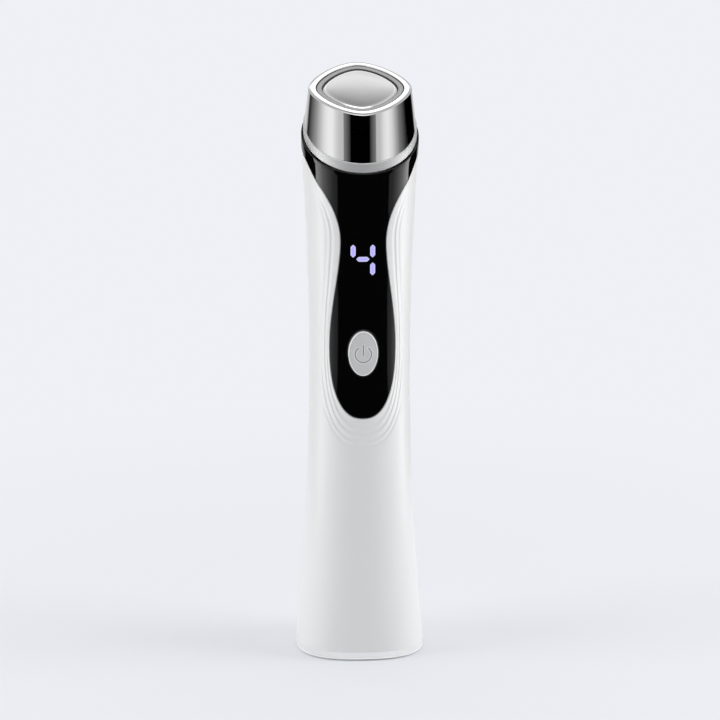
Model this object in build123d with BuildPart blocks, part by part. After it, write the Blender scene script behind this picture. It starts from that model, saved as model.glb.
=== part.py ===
from build123d import *
from math import ceil, cos, floor, hypot, pi, radians, sin, sqrt
import os

# Microcurrent facial wand, millimetres.
# Z is up from the surface that the foot stands on, and -Y is the front with the display.

# Body: an hourglass tube, a rounded square at the foot and a circle from the waist up
foot_radius = 20.1
waist_radius = 15.7
neck_radius = 18.2
waist_height = 90.0
bulge_height = 100.0
neck_rise = 61.0
neck_height = bulge_height + neck_rise
foot_squareness = 2.5
circle_exponent = 2.0
shell_bottom = 0.4
foot_bevel_height = 1.8
foot_bevel_inset = 0.9
half_outline_steps = 8
station_step = 16.0

# Walls of the body, counted inwards from its outer skin
shell_wall = 2.4
panel_thickness = 1.4
glue_gap = 0.1
seam_gap = 0.12

# Slanted planes: the neck ring and the top of the head both fall towards the front
ring_rise = 3.4
ring_height = neck_height + ring_rise
ring_slope = 0.49
head_rise = 14.5
rim_height = ring_height + head_rise
rim_slope = 0.33

# Front panel outline, as half widths and heights
bulge_half = 10.36
panel_drop = 22.7
panel_bottom = bulge_height - panel_drop
panel_waist_half = 7.07
panel_waist_rise = 33.4
panel_waist_height = bulge_height + panel_waist_rise
flare_low_half = 8.95
flare_low_rise = 9.8
flare_mid_half = 11.3
flare_mid_rise = 14.2
flare_high_half = 14.3
flare_high_rise = 18.6
flare_lean = 0.6
collar_join_half = 17.75
collar_band = 4.2
lip_gap = 0.3

# Ripples moulded in the shell round the lower panel: growth at the waist, bulge and bottom
ripple_waist_step = 1.35
ripple_bulge_step = 0.8
ripple_bottom_step = 2.25
ripple_waist_start = 1.75
ripple_bulge_start = 0.7
ripple_bottom_start = 3.1
ripple_count = 3
ripple_depth = 0.12
ripple_top_half = 16.4
ripple_top_rise = 21.6

# Trim ring and head
ring_radius = 17.8
ring_band = 2.75
ring_inner_radius = 15.0
head_foot_radius = 17.5
head_top_radius = 16.0
head_exponent = 1.5
head_wall = 1.3
rim_bevel = 0.8
rim_thickness = 1.4
rim_opening = 13.7
gasket_drop = 0.6
gasket_gap = 0.05
plate_radius = 11.2
plate_drop = 0.1
plate_bevel = 0.5
stem_radius = 2.5
stem_length = 7.0
carrier_gap = 0.1
carrier_wall_gap = 0.15
carrier_drop = 12.2
carrier_bottom = ring_height - carrier_drop
carrier_bore = 10.5
carrier_roof = 2.2

# Power button and switch
button_drop = 1.85
button_height = bulge_height - button_drop
button_half_width = 4.75
button_half_height = 7.3
button_proud = 0.5
button_gap = 0.15
button_travel = 0.3
seal_width = 1.2
seal_gap = 0.1
flange_width = 2.0
flange_gap = 0.2
flange_back = 10.3
symbol_radius = 2.7
symbol_stroke = 0.7
symbol_depth = 0.15
symbol_bar_top = 3.2
symbol_bar_bottom = -0.35
symbol_gap_angle = 38.0
switch_width = 6.0
switch_depth = 3.55
switch_corner = 0.5
plunger_radius = 1.75
plunger_proud = 1.0
plunger_depth = 1.2
running_gap = 0.05

# Seven-segment digit
digit_drop = 5.25
digit_height = panel_waist_height - digit_drop
digit_column = 3.02
digit_row = 5.65
digit_upright = 2.74
segment_width = 1.95
segment_length = 4.5
segment_back = 10.0
segment_sink = 0.02
segment_gap = 0.04
case_half_width = 5.6
case_half_height = 7.4
window_gap = 0.4

# Battery, a round lithium cell standing in the frame's saddles over the shelf
shelf_bottom = 10.0
shelf_radius = 15.5
cell_lift = 11.0
cell_bottom = shelf_bottom + cell_lift
cell_radius = 7.0
cell_clear = 29.0
cell_top = bulge_height - cell_clear
cell_length = cell_top - cell_bottom
cell_gap = 0.15
tab_thickness = 0.2
tab_half_width = 1.2
tab_shift = 0.9
tab_reach = 9.4
tab_centre_reach = 2.0
solder_gap = 0.05

# Inner frame
plate_front = 0.5
plate_thickness = 2.0
spine_front = 8.0
spine_half_width = 7.0
step_clear = 1.0
step_bottom = cell_top + step_clear
flange_thickness = 2.0
flange_bottom = carrier_bottom - flange_thickness
flange_radius = 14.8
stop_clear = 0.5
stop_bottom = cell_bottom - stop_clear - plate_thickness
stop_half_width = 10.0
post_radius = 2.0
saddle_radius = 9.2
saddle_height = 4.0
saddle_inset_low = 5.0
saddle_inset_high = 9.0
saddle_low = cell_bottom + saddle_inset_low
saddle_high = cell_top - saddle_inset_high
saddle_mouth = 3.0

# Main board, standing upright behind the panel
board_front = 5.0
board_thickness = 1.6
board_half_width = 9.0
board_lift = 3.0
board_clear = 3.2
board_bottom = step_bottom + board_lift
board_top = flange_bottom - board_clear
board_screw_x = 6.5
board_screw_inset = 5.0
board_screw_low = board_bottom + board_screw_inset
board_screw_high = board_top - board_screw_inset

# Charge port and board, in the back of the foot
port_width = 8.94
port_tall = 3.26
port_wall = 0.34
port_mouth = 18.0
port_length = 7.3
port_gap = 0.18
plug_recess_width = 12.2
plug_recess_tall = 6.4
charge_board_lift = 1.0
charge_board_bottom = shelf_bottom + plate_thickness + charge_board_lift
charge_board_thickness = 1.0
charge_board_front = 2.0
charge_board_back = 12.5
charge_board_half_width = 7.0
charge_screw_x = 5.0
charge_screw_y = 5.0

# Base
cap_top = 3.4
cap_flange_top = 1.4
cap_flange_inset = 1.3
cap_bottom = 0.5
cap_gap = 0.1
foot_ring_outer = 15.5
foot_ring_inner = 12.5
foot_ring_depth = 0.4
base_seal_width = 0.75
base_seal_bottom = 2.0
base_seal_top = 3.0
base_screw_x = 10.4

# Screws
screw_shank = 0.75
screw_head = 1.8
screw_head_height = 1.3
thread_gap = 0.05
head_screw_radius = 12.6
head_screw_depth = 5.0
board_screw_bite = 2.6
charge_screw_bite = 1.8
base_screw_length = 6.0
board_post_bore = 3.2

# Wires
wire_radius = 0.5
wire_bend = 2.0
short_bend = 0.9
lead_x = 1.5
lead_y = 7.3
lead_tab_y = 8.6
lead_rise = 1.5
lead_straight = 0.6
black_lead_drop = 6.0
charge_pad_x = 2.2
charge_pad_y = 2.8
charge_lead_x = 5.6
charge_lead_y = 9.2
charge_lead_rise = 2.2
charge_lead_climb = 0.4
charge_lead_over = 6.0
charge_lead_stub = 2.2
gate_drop = 7.2
gate_height = flange_bottom - gate_drop
gate_rise = 1.6
gate_below = 6.0
gate_above = 5.0
gate_run = 2.0
neck_drop = 3.0
tail_inset = 1.2
tail_gap = 0.25
tail_drop = 5.0
tail_step = 2.0
bore_inset = 1.2
bore_run = 2.2
bore_drop = 4.5
rim_lead_bend = 1.5

os.makedirs("parts", exist_ok=True)


def radius_at(height):
    """Half width of the body at a height: two parabolas that meet at the waist."""
    if height < waist_height:
        flare = foot_radius - waist_radius
        return waist_radius + flare * ((waist_height - height) / waist_height) ** 2
    if height < neck_height:
        flare = neck_radius - waist_radius
        return waist_radius + flare * ((height - waist_height) / (neck_height - waist_height)) ** 2
    return neck_radius


def squareness_at(height):
    """Exponent of the body's cross-section at a height."""
    share = max(0.0, (waist_height - height) / waist_height)
    return circle_exponent + (foot_squareness - circle_exponent) * share


def outline_face(plane, radius, exponent, stretch=1.0):
    """Sketch inside a smooth outline |x|^n + |y|^n = r^n, as a back half and its mirror image."""
    points = []
    for step in range(half_outline_steps + 1):
        angle = pi * step / half_outline_steps
        reach = radius / (abs(cos(angle)) ** exponent + abs(sin(angle)) ** exponent) ** (1 / exponent)
        points.append((reach * cos(angle), reach * sin(angle) * stretch))
    with BuildSketch(plane) as face:
        with BuildLine():
            Spline(*points, tangents=[(0, 1), (0, -1)], tangent_scalars=[1, 1])
            mirror(about=Plane.XZ)
        make_face()
    return face.sketch


def body_section(height, inset):
    """Sketch of the body's cross-section, inset from its skin."""
    return outline_face(Plane.XY.offset(height), radius_at(height) - inset, squareness_at(height))


def body_form(inset, low=0, high=neck_height + foot_radius):
    """Solid inside the body's skin, inset, that covers the stations round two heights."""
    stations = range(floor(low / station_step), ceil(high / station_step) + 1)
    with BuildPart() as form:
        loft(sections=[body_section(station * station_step, inset) for station in stations])
    return form.part


def slanted_plane(height, slope):
    """Plane that rises towards the back, at a height on the body's axis."""
    return Plane(origin=(0, 0, height), x_dir=(1, 0, 0), z_dir=(0, -slope, 1))


def slanted_section(height, slope, radius, exponent):
    """Sketch on a slanted plane that looks like the plain outline from above."""
    return outline_face(slanted_plane(height, slope), radius, exponent, hypot(1, slope))


def slanted_space(height, slope, thickness):
    """Wide block above a slanted plane, or below it for a negative thickness."""
    with BuildPart() as space:
        with BuildSketch(slanted_plane(height, slope)):
            Rectangle(4 * foot_radius, 4 * foot_radius)
        extrude(amount=thickness)
    return space.part


def front_prism(waist_grow, bulge_grow, bottom_grow, join, flares):
    """Block behind the front view of the panel's outline, grown by the given amounts."""
    top = rim_height + foot_radius
    bulge = (bulge_half + bulge_grow, bulge_height)
    waist = (panel_waist_half + waist_grow, panel_waist_height)
    depth = bulge_height - panel_bottom + bottom_grow
    with BuildPart() as prism:
        with BuildSketch(Plane.XZ):
            with BuildLine():
                EllipticalCenterArc((0, bulge_height), bulge[0], depth, start_angle=270, arc_size=90)
                Spline(bulge, waist, tangents=[(0, 1), (0, 1)])
                Spline(waist, *flares, join, tangents=[(0, 1), (flare_lean, 1)])
                Line(join, (join[0], top))
                Line((join[0], top), (0, top))
                mirror(about=Plane.YZ)
            make_face()
        extrude(amount=2 * foot_radius)
    return prism.part


def segment_faces(plane, centres, grow):
    """Pointed bars of the digit, each given as (x, z, turn)."""
    half = segment_length / 2 + grow
    side = segment_width / 2 + grow
    with BuildSketch(plane) as faces:
        for x, z, turn in centres:
            with Locations(Location((x, digit_height + z), turn)):
                Polygon(
                    (half, 0), (half - side, side), (side - half, side),
                    (-half, 0), (side - half, -side), (half - side, -side),
                    align=None,
                )
    return faces.sketch


def panhead_screw(plane, places, length):
    """Screws with a domed head on the plane and a shank that goes into it."""
    with BuildPart() as screws:
        with Locations(plane):
            with Locations(places):
                Cylinder(screw_head, screw_head_height, align=(Align.CENTER, Align.CENTER, Align.MIN))
                Cylinder(screw_shank, length, align=(Align.CENTER, Align.CENTER, Align.MAX))
        head_tops = screws.edges().filter_by(GeomType.CIRCLE).filter_by(
            lambda edge: abs(plane.to_local_coords(edge.center()).Z - screw_head_height) < thread_gap
        )
        fillet(head_tops, screw_head_height / 2)
        with Locations(plane.offset(screw_head_height)):
            with Locations(places):
                Box(
                    screw_head, screw_head / 4, screw_head_height,
                    align=(Align.CENTER, Align.CENTER, Align.CENTER),
                    mode=Mode.SUBTRACT,
                )
    return screws.part


def upright_box(x_low, x_high, y_low, y_high, z_low, z_high):
    """Box between three pairs of limits."""
    with BuildPart() as block:
        with Locations(((x_low + x_high) / 2, (y_low + y_high) / 2, (z_low + z_high) / 2)):
            Box(x_high - x_low, y_high - y_low, z_high - z_low)
    return block.part


def wire(points, bends):
    """Round wire along straight runs joined by arcs."""
    with BuildPart() as lead:
        with BuildLine() as route:
            FilletPolyline(*points, radius=bends)
        start = route.line ^ 0
        with BuildSketch(Plane(origin=start.position, z_dir=start.z_axis.direction)):
            Circle(wire_radius)
        sweep()
    return lead.part


def slanted_loft(low, high):
    """Solid between two slanted sections, each (height, slope, radius, exponent)."""
    with BuildPart() as solid:
        loft(sections=[slanted_section(*low), slanted_section(*high)])
    return solid.part


def rim_prism(low, high, radius):
    """Upright block with the head's rounded-diamond outline, cut parallel to the rim."""
    return slanted_loft((low, rim_slope, radius, head_exponent), (high, rim_slope, radius, head_exponent))


# Where the collar's lower edge, on its slanted plane, meets the panel's outline
join_y = -sqrt(neck_radius**2 - collar_join_half**2)
join_height = ring_height - collar_band + ring_slope * join_y
board_back = board_front - board_thickness

# Solids that several pieces are cut from
bevel_top = shell_bottom + foot_bevel_height
with BuildPart() as foot_trim:
    with BuildSketch(Plane.XY.offset(-foot_bevel_height)):
        Rectangle(4 * foot_radius, 4 * foot_radius)
    extrude(amount=foot_bevel_height + bevel_top)
    bevel_sections = [body_section(shell_bottom, foot_bevel_inset), body_section(bevel_top, 0)]
    loft(sections=bevel_sections, ruled=True, mode=Mode.SUBTRACT)

with BuildPart() as skin_form:
    add(body_form(0))
    add(foot_trim.part, mode=Mode.SUBTRACT)

with BuildPart() as ledge_form:
    add(body_form(panel_thickness + glue_gap))

with BuildPart() as cavity_form:
    add(body_form(shell_wall))

flare_points = [
    (flare_low_half, panel_waist_height + flare_low_rise),
    (flare_mid_half, panel_waist_height + flare_mid_rise),
    (flare_high_half, panel_waist_height + flare_high_rise),
]
recess_points = [(half + seam_gap, height) for half, height in flare_points]
with BuildPart() as panel_zone:
    add(front_prism(0, 0, 0, (collar_join_half, join_height), flare_points))
    add(slanted_space(ring_height - collar_band, ring_slope, foot_radius))

with BuildPart() as recess_zone:
    recess_join = (collar_join_half, join_height - seam_gap)
    add(front_prism(seam_gap, seam_gap, seam_gap, recess_join, recess_points))
    add(slanted_space(ring_height - collar_band - seam_gap, ring_slope, foot_radius))
    add(ledge_form.part, mode=Mode.SUBTRACT)

# Terraces of the ripples, each cut a little deeper than the one outside it
terraces = []
for step in range(ripple_count):
    waist_grow = ripple_waist_start + step * ripple_waist_step
    bulge_grow = ripple_bulge_start + step * ripple_bulge_step
    bottom_grow = ripple_bottom_start + step * ripple_bottom_step
    ripple_join = (ripple_top_half, panel_waist_height + ripple_top_rise)
    with BuildPart() as terrace:
        add(front_prism(waist_grow, bulge_grow, bottom_grow, ripple_join, []))
        add(body_form((ripple_count - step) * ripple_depth), mode=Mode.SUBTRACT)
    terraces.append(terrace.part)

port_height = charge_board_bottom + charge_board_thickness + solder_gap + port_tall / 2

# Body shell: one white moulding, rebated for the panel, with the ripples and the port hole
with BuildPart() as body_shell:
    add(skin_form.part)
    add(cavity_form.part, mode=Mode.SUBTRACT)
    add(slanted_space(ring_height, ring_slope, 2 * foot_radius), mode=Mode.SUBTRACT)
    for terrace_part in terraces:
        add(terrace_part, mode=Mode.SUBTRACT)
    add(recess_zone.part, mode=Mode.SUBTRACT)
    with BuildSketch(Plane.XZ):
        with Locations((0, button_height)):
            Ellipse(button_half_width + seal_width, button_half_height + seal_width)
        with Locations((0, digit_height)):
            Rectangle(2 * (case_half_width + window_gap), 2 * (case_half_height + window_gap))
    extrude(amount=2 * foot_radius, mode=Mode.SUBTRACT)
    with BuildSketch(Plane.XZ):
        with Locations((0, port_height)):
            SlotOverall(port_width + 2 * port_gap, port_tall + 2 * port_gap)
    extrude(amount=-2 * foot_radius, mode=Mode.SUBTRACT)
    with BuildSketch(Plane.XZ.offset(-port_mouth)):
        with Locations((0, port_height)):
            SlotOverall(plug_recess_width, plug_recess_tall)
    extrude(amount=-foot_radius, mode=Mode.SUBTRACT)
    extrude(
        to_extrude=body_section(shell_bottom, cap_flange_inset + foot_bevel_inset),
        amount=cap_flange_top - shell_bottom,
        mode=Mode.SUBTRACT,
    )
body_shell.part.label = "body_shell"
export_step(body_shell.part, "parts/body_shell.step")

# Front panel with its collar: one glossy black moulding, laid in the shell's rebate
button_hole_half = button_half_width + button_gap
button_hole_tall = button_half_height + button_gap


upright = 90
lit_places = [
    (-digit_column, digit_upright, upright),
    (digit_column, digit_upright, upright),
    (0, 0, 0),
    (digit_column, -digit_upright, upright),
]
unlit_places = [(0, digit_row, 0), (0, -digit_row, 0), (-digit_column, -digit_upright, upright)]

with BuildPart() as panel_band:
    add(skin_form.part)
    add(body_form(panel_thickness), mode=Mode.SUBTRACT)
    add(slanted_space(ring_height - lip_gap, ring_slope, 2 * foot_radius), mode=Mode.SUBTRACT)

with BuildPart() as front_panel:
    add(panel_band.part)
    add(panel_zone.part, mode=Mode.INTERSECT)
    with BuildSketch(Plane.XZ):
        with Locations((0, button_height)):
            Ellipse(button_hole_half, button_hole_tall)
    extrude(amount=2 * foot_radius, mode=Mode.SUBTRACT)
    extrude(
        to_extrude=segment_faces(Plane.XZ, lit_places + unlit_places, segment_gap),
        amount=2 * foot_radius,
        mode=Mode.SUBTRACT,
    )
front_panel.part.label = "front_panel"
export_step(front_panel.part, "parts/front_panel.step")

# Segments of the digit: clear bars whose front ends lie flush in the panel
with BuildPart() as digit_space:
    add(body_form(segment_sink, digit_height - foot_radius, digit_height + foot_radius))

for name, places in (("lit_segments", lit_places), ("unlit_segments", unlit_places)):
    with BuildPart() as segments:
        extrude(
            to_extrude=segment_faces(Plane.XZ.offset(segment_back), places, 0),
            amount=foot_radius,
        )
        add(digit_space.part, mode=Mode.INTERSECT)
    segments.part.label = name
    export_step(segments.part, f"parts/{name}.step")

# Light box: a white block with one well behind each segment
with BuildPart() as case_space:
    case_inset = panel_thickness + glue_gap + window_gap / 2
    add(body_form(case_inset, digit_height - foot_radius, digit_height + foot_radius))

with BuildPart() as light_box:
    with BuildSketch(Plane.XZ.offset(board_front + solder_gap)):
        with Locations((0, digit_height)):
            Rectangle(2 * case_half_width, 2 * case_half_height)
    extrude(amount=foot_radius)
    add(case_space.part, mode=Mode.INTERSECT)
    extrude(
        to_extrude=segment_faces(Plane.XZ, lit_places + unlit_places, running_gap),
        amount=foot_radius,
        mode=Mode.SUBTRACT,
    )
light_box.part.label = "light_box"
export_step(light_box.part, "parts/light_box.step")

# Small white lights soldered in the wells
light_width = 1.2
light_thickness = 0.6
with BuildPart() as segment_lights:
    with BuildSketch(Plane.XZ.offset(board_front + solder_gap)):
        with Locations([(x, digit_height + z) for x, z, turn in lit_places + unlit_places]):
            Rectangle(light_width, light_width)
    extrude(amount=light_thickness)
segment_lights.part.label = "segment_lights"
export_step(segment_lights.part, "parts/segment_lights.step")

# Power button: an oval cap with a sunk on-off symbol, a hidden flange and a stem
button_low = button_height - foot_radius
button_high = button_height + foot_radius
switch_front = board_front + solder_gap + switch_depth
stem_end = switch_front + plunger_proud + running_gap

with BuildPart() as button_face:
    add(body_form(-button_proud, button_low, button_high))

with BuildPart() as button_flange_space:
    add(body_form(shell_wall + flange_gap, button_low, button_high))

with BuildPart() as symbol_cutter:
    with BuildSketch(Plane.XZ.offset(waist_radius - shell_wall)):
        with Locations((0, button_height)):
            Circle(symbol_radius + symbol_stroke / 2)
            Circle(symbol_radius - symbol_stroke / 2, mode=Mode.SUBTRACT)
            gap_half = symbol_radius * sin(radians(symbol_gap_angle))
            with Locations((0, symbol_radius)):
                Rectangle(2 * gap_half, 2 * symbol_stroke, mode=Mode.SUBTRACT)
            bar_length = symbol_bar_top - symbol_bar_bottom
            with Locations((0, (symbol_bar_top + symbol_bar_bottom) / 2)):
                SlotOverall(bar_length, symbol_stroke, rotation=90)
    extrude(amount=foot_radius)
    add(body_form(symbol_depth - button_proud, button_low, button_high), mode=Mode.SUBTRACT)

with BuildPart() as button_cap:
    with BuildSketch(Plane.XZ.offset(flange_back)):
        with Locations((0, button_height)):
            Ellipse(button_half_width, button_half_height)
    extrude(amount=foot_radius)
    add(button_face.part, mode=Mode.INTERSECT)

with BuildPart() as power_button:
    with BuildSketch(Plane.XZ.offset(flange_back)):
        with Locations((0, button_height)):
            Ellipse(button_half_width + flange_width, button_half_height + flange_width)
    extrude(amount=foot_radius)
    add(button_flange_space.part, mode=Mode.INTERSECT)
    add(button_cap.part)
    with BuildSketch(Plane.XZ.offset(stem_end)):
        with Locations((0, button_height)):
            Circle(plunger_radius)
    extrude(amount=flange_back - stem_end)
    add(symbol_cutter.part, mode=Mode.SUBTRACT)
power_button.part.label = "power_button"
export_step(power_button.part, "parts/power_button.step")

# Soft seal round the button's shank, held in the shell's opening behind the panel
with BuildPart() as seal_skin:
    add(body_form(panel_thickness + glue_gap + seal_gap, button_low, button_high))

with BuildPart() as button_seal:
    with BuildSketch(Plane.XZ):
        with Locations((0, button_height)):
            Ellipse(button_half_width + seal_width - seal_gap, button_half_height + seal_width - seal_gap)
            Ellipse(button_hole_half, button_hole_tall, mode=Mode.SUBTRACT)
    extrude(amount=foot_radius)
    add(seal_skin.part, mode=Mode.INTERSECT)
    add(body_form(shell_wall - seal_gap, button_low, button_high), mode=Mode.SUBTRACT)
button_seal.part.label = "button_seal"
export_step(button_seal.part, "parts/button_seal.step")

# Push switch behind the button: a body with a well, and the plunger that travels in it
with BuildPart() as switch_body:
    with BuildSketch(Plane.XZ.offset(board_front + solder_gap)):
        with Locations((0, button_height)):
            RectangleRounded(switch_width, switch_width, switch_corner)
    extrude(amount=switch_depth)
    well_depth = plunger_depth + button_travel + running_gap
    with BuildSketch(Plane.XZ.offset(switch_front - well_depth)):
        with Locations((0, button_height)):
            Circle(plunger_radius + running_gap)
    extrude(amount=well_depth, mode=Mode.SUBTRACT)
switch_body.part.label = "switch_body"
export_step(switch_body.part, "parts/switch_body.step")

with BuildPart() as switch_plunger:
    with BuildSketch(Plane.XZ.offset(switch_front - plunger_depth)):
        with Locations((0, button_height)):
            Circle(plunger_radius)
    extrude(amount=plunger_depth + plunger_proud)
switch_plunger.part.label = "switch_plunger"
export_step(switch_plunger.part, "parts/switch_plunger.step")

# Main board, standing upright on four posts of the inner frame
board_screw_places = [
    (side * board_screw_x, height) for side in (-1, 1) for height in (board_screw_low, board_screw_high)
]
with BuildPart() as main_board:
    with BuildSketch(Plane.XZ.offset(board_back)):
        with Locations((0, (board_bottom + board_top) / 2)):
            RectangleRounded(2 * board_half_width, board_top - board_bottom, post_radius)
        with Locations(board_screw_places):
            Circle(screw_shank + thread_gap, mode=Mode.SUBTRACT)
    extrude(amount=board_thickness)
main_board.part.label = "main_board"
export_step(main_board.part, "parts/main_board.step")


board_screw_length = board_thickness + board_screw_bite
with BuildPart() as board_screws:
    board_face = Plane.XZ.offset(board_front)
    add(panhead_screw(board_face, board_screw_places, board_screw_length))
board_screws.part.label = "board_screws"
export_step(board_screws.part, "parts/board_screws.step")

# Parts soldered to the front of the main board: (half width, half height, thickness, x, z)
solder_plane = Plane.XZ.offset(board_front + solder_gap)
chip_half = 3.5
chip_thickness = 1.2
control_chip_rise = 14.85
control_chip_height = button_height + control_chip_rise
charge_chip_half = 2.2
charge_chip_x = 4.2
low_row_rise = 11.5
low_row_height = board_bottom + low_row_rise
charge_chip_place = (-charge_chip_x, low_row_height)
with BuildPart() as control_chip:
    with BuildSketch(solder_plane):
        with Locations((0, control_chip_height)):
            Rectangle(2 * chip_half, 2 * chip_half)
    extrude(amount=chip_thickness)
    chamfer(control_chip.faces().sort_by(Axis.Y)[0].edges(), chip_thickness / 4)
control_chip.part.label = "control_chip"
export_step(control_chip.part, "parts/control_chip.step")

with BuildPart() as charge_chip:
    with BuildSketch(solder_plane):
        with Locations(charge_chip_place):
            Rectangle(2 * charge_chip_half, 2 * charge_chip_half)
    extrude(amount=chip_thickness)
    chamfer(charge_chip.faces().sort_by(Axis.Y)[0].edges(), chip_thickness / 4)
charge_chip.part.label = "charge_chip"
export_step(charge_chip.part, "parts/charge_chip.step")

# Step-up coil: a drum with a waist for its winding
coil_radius = 2.9
coil_height = 4.2
coil_rim = 0.8
coil_x = 3.4
coil_place = (coil_x, low_row_height)
with BuildPart() as step_up_coil:
    with Locations(solder_plane):
        with Locations(coil_place):
            Cylinder(coil_radius, coil_height, align=(Align.CENTER, Align.CENTER, Align.MIN))
    with Locations(solder_plane.offset(coil_rim)):
        with Locations(coil_place):
            wound_height = coil_height - 2 * coil_rim
            Cylinder(
                coil_radius, wound_height,
                align=(Align.CENTER, Align.CENTER, Align.MIN), mode=Mode.SUBTRACT,
            )
            Cylinder(coil_radius - coil_rim / 2, wound_height, align=(Align.CENTER, Align.CENTER, Align.MIN))
step_up_coil.part.label = "step_up_coil"
export_step(step_up_coil.part, "parts/step_up_coil.step")

# Output transformer: a core block round a fatter bobbin
transformer_half = 4.2
transformer_tall = 3.6
transformer_depth = 6.4
transformer_height = board_screw_high
bobbin_extra = 0.9
with BuildPart() as output_transformer:
    with BuildSketch(solder_plane):
        with Locations((0, transformer_height)):
            Rectangle(2 * transformer_half, 2 * transformer_tall - 2 * bobbin_extra)
    extrude(amount=transformer_depth)
    with BuildSketch(solder_plane.offset(bobbin_extra)):
        with Locations((0, transformer_height)):
            RectangleRounded(2 * (transformer_half - bobbin_extra), 2 * transformer_tall, bobbin_extra)
    extrude(amount=transformer_depth - 2 * bobbin_extra)
output_transformer.part.label = "output_transformer"
export_step(output_transformer.part, "parts/output_transformer.step")

# Four storage capacitors beside the control chip
capacitor_half_width = 1.3
capacitor_half_height = 1.8
capacitor_thickness = 1.8
capacitor_x = 6.4
capacitor_spread = 5.2
with BuildPart() as storage_capacitors:
    with BuildSketch(solder_plane):
        with Locations((0, control_chip_height)):
            with GridLocations(2 * capacitor_x, capacitor_spread, 2, 2):
                Rectangle(2 * capacitor_half_width, 2 * capacitor_half_height)
    extrude(amount=capacitor_thickness)
storage_capacitors.part.label = "storage_capacitors"
export_step(storage_capacitors.part, "parts/storage_capacitors.step")

# Battery socket on the board's lower edge
socket_half_width = 3.2
socket_tall = 4.0
socket_depth = 4.4
socket_wall = 0.7
socket_reach = 1.5
with BuildPart() as battery_socket:
    with BuildSketch(solder_plane):
        with Locations((0, board_bottom + socket_tall / 2 + glue_gap)):
            Rectangle(2 * socket_half_width, socket_tall)
    extrude(amount=socket_depth)
    with Locations(Plane.XY.offset(board_bottom + glue_gap)):
        with Locations((-lead_x, -lead_y), (lead_x, -lead_y)):
            Cylinder(
                wire_radius + thread_gap, socket_tall - socket_wall,
                align=(Align.CENTER, Align.CENTER, Align.MIN), mode=Mode.SUBTRACT,
            )
battery_socket.part.label = "battery_socket"
export_step(battery_socket.part, "parts/battery_socket.step")

# Inner frame: top flange, upright plate with board posts, spine, battery saddles and shelf
plate_back = plate_front + plate_thickness
spine_back = spine_front + plate_thickness
head_screw_places = [
    (head_screw_radius * cos(radians(turn)), head_screw_radius * sin(radians(turn))) for turn in (-90, 30, 150)
]
wire_gate_half = 5.0
wire_gate_front = 3.2
wire_gate_back = 12.0
plate_gate_bottom = gate_height - gate_below
plate_gate_top = gate_height + gate_above
base_post_radius = 3.0
lower_post_half = 2.0
charge_post_radius = 1.6
charge_screw_places = [(-charge_screw_x, charge_screw_y), (charge_screw_x, charge_screw_y)]
base_screw_places = [(-base_screw_x, 0), (base_screw_x, 0)]


with BuildPart() as inner_frame:
    with BuildSketch(Plane.XY.offset(flange_bottom)):
        Circle(flange_radius)
        with Locations(((0, (wire_gate_front + wire_gate_back) / 2))):
            Rectangle(2 * wire_gate_half, wire_gate_back - wire_gate_front, mode=Mode.SUBTRACT)
        with Locations(head_screw_places):
            Circle(screw_shank + thread_gap, mode=Mode.SUBTRACT)
    extrude(amount=flange_thickness)
    add(upright_box(-board_half_width, board_half_width, plate_front, plate_back, step_bottom, flange_bottom))
    add(
        upright_box(
            -wire_gate_half, wire_gate_half, plate_front, plate_back, plate_gate_bottom, plate_gate_top
        ),
        mode=Mode.SUBTRACT,
    )
    with BuildSketch(Plane.XZ.offset(-plate_front)):
        with Locations(board_screw_places):
            Circle(post_radius)
    extrude(amount=board_back + plate_front)
    step_top = step_bottom + plate_thickness
    add(upright_box(-spine_half_width, spine_half_width, plate_front, spine_back, step_bottom, step_top))
    add(upright_box(-spine_half_width, spine_half_width, spine_front, spine_back, stop_bottom, step_bottom))
    for saddle_bottom in (saddle_low, saddle_high):
        with BuildSketch(Plane.XY.offset(saddle_bottom)):
            Circle(saddle_radius)
            Circle(cell_radius + cell_gap, mode=Mode.SUBTRACT)
            with Locations((0, -saddle_mouth - saddle_radius)):
                Rectangle(2 * saddle_radius, 2 * saddle_radius, mode=Mode.SUBTRACT)
        extrude(amount=saddle_height)
    stop_top = stop_bottom + plate_thickness
    add(upright_box(-stop_half_width, stop_half_width, -board_front, spine_back, stop_bottom, stop_top))
    with BuildSketch(Plane.XY.offset(shelf_bottom)):
        Circle(shelf_radius)
    extrude(amount=plate_thickness)
    shelf_top = shelf_bottom + plate_thickness
    for side in (-1, 1):
        inner_x = side * (stop_half_width - lower_post_half)
        outer_x = side * stop_half_width
        low_x, high_x = sorted((inner_x, outer_x))
        add(upright_box(low_x, high_x, -board_front, spine_front, shelf_top, stop_bottom))
    with BuildSketch(Plane.XY.offset(shelf_top)):
        with Locations(charge_screw_places):
            Circle(charge_post_radius)
    extrude(amount=charge_board_bottom - shelf_top)
    with BuildSketch(Plane.XY.offset(cap_top)):
        with Locations(base_screw_places):
            Circle(base_post_radius)
    extrude(amount=shelf_bottom - cap_top)
    with BuildSketch(Plane.XZ.offset(board_back)):
        with Locations(board_screw_places):
            Circle(screw_shank + thread_gap)
    extrude(amount=-board_post_bore, mode=Mode.SUBTRACT)
    with BuildSketch(Plane.XY.offset(charge_board_bottom)):
        with Locations(charge_screw_places):
            Circle(screw_shank + thread_gap)
    extrude(amount=-plate_thickness, mode=Mode.SUBTRACT)
    with BuildSketch(Plane.XY.offset(cap_top)):
        with Locations(base_screw_places):
            Circle(screw_shank + thread_gap)
    extrude(amount=base_screw_length, mode=Mode.SUBTRACT)
inner_frame.part.label = "inner_frame"
export_step(inner_frame.part, "parts/inner_frame.step")

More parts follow.
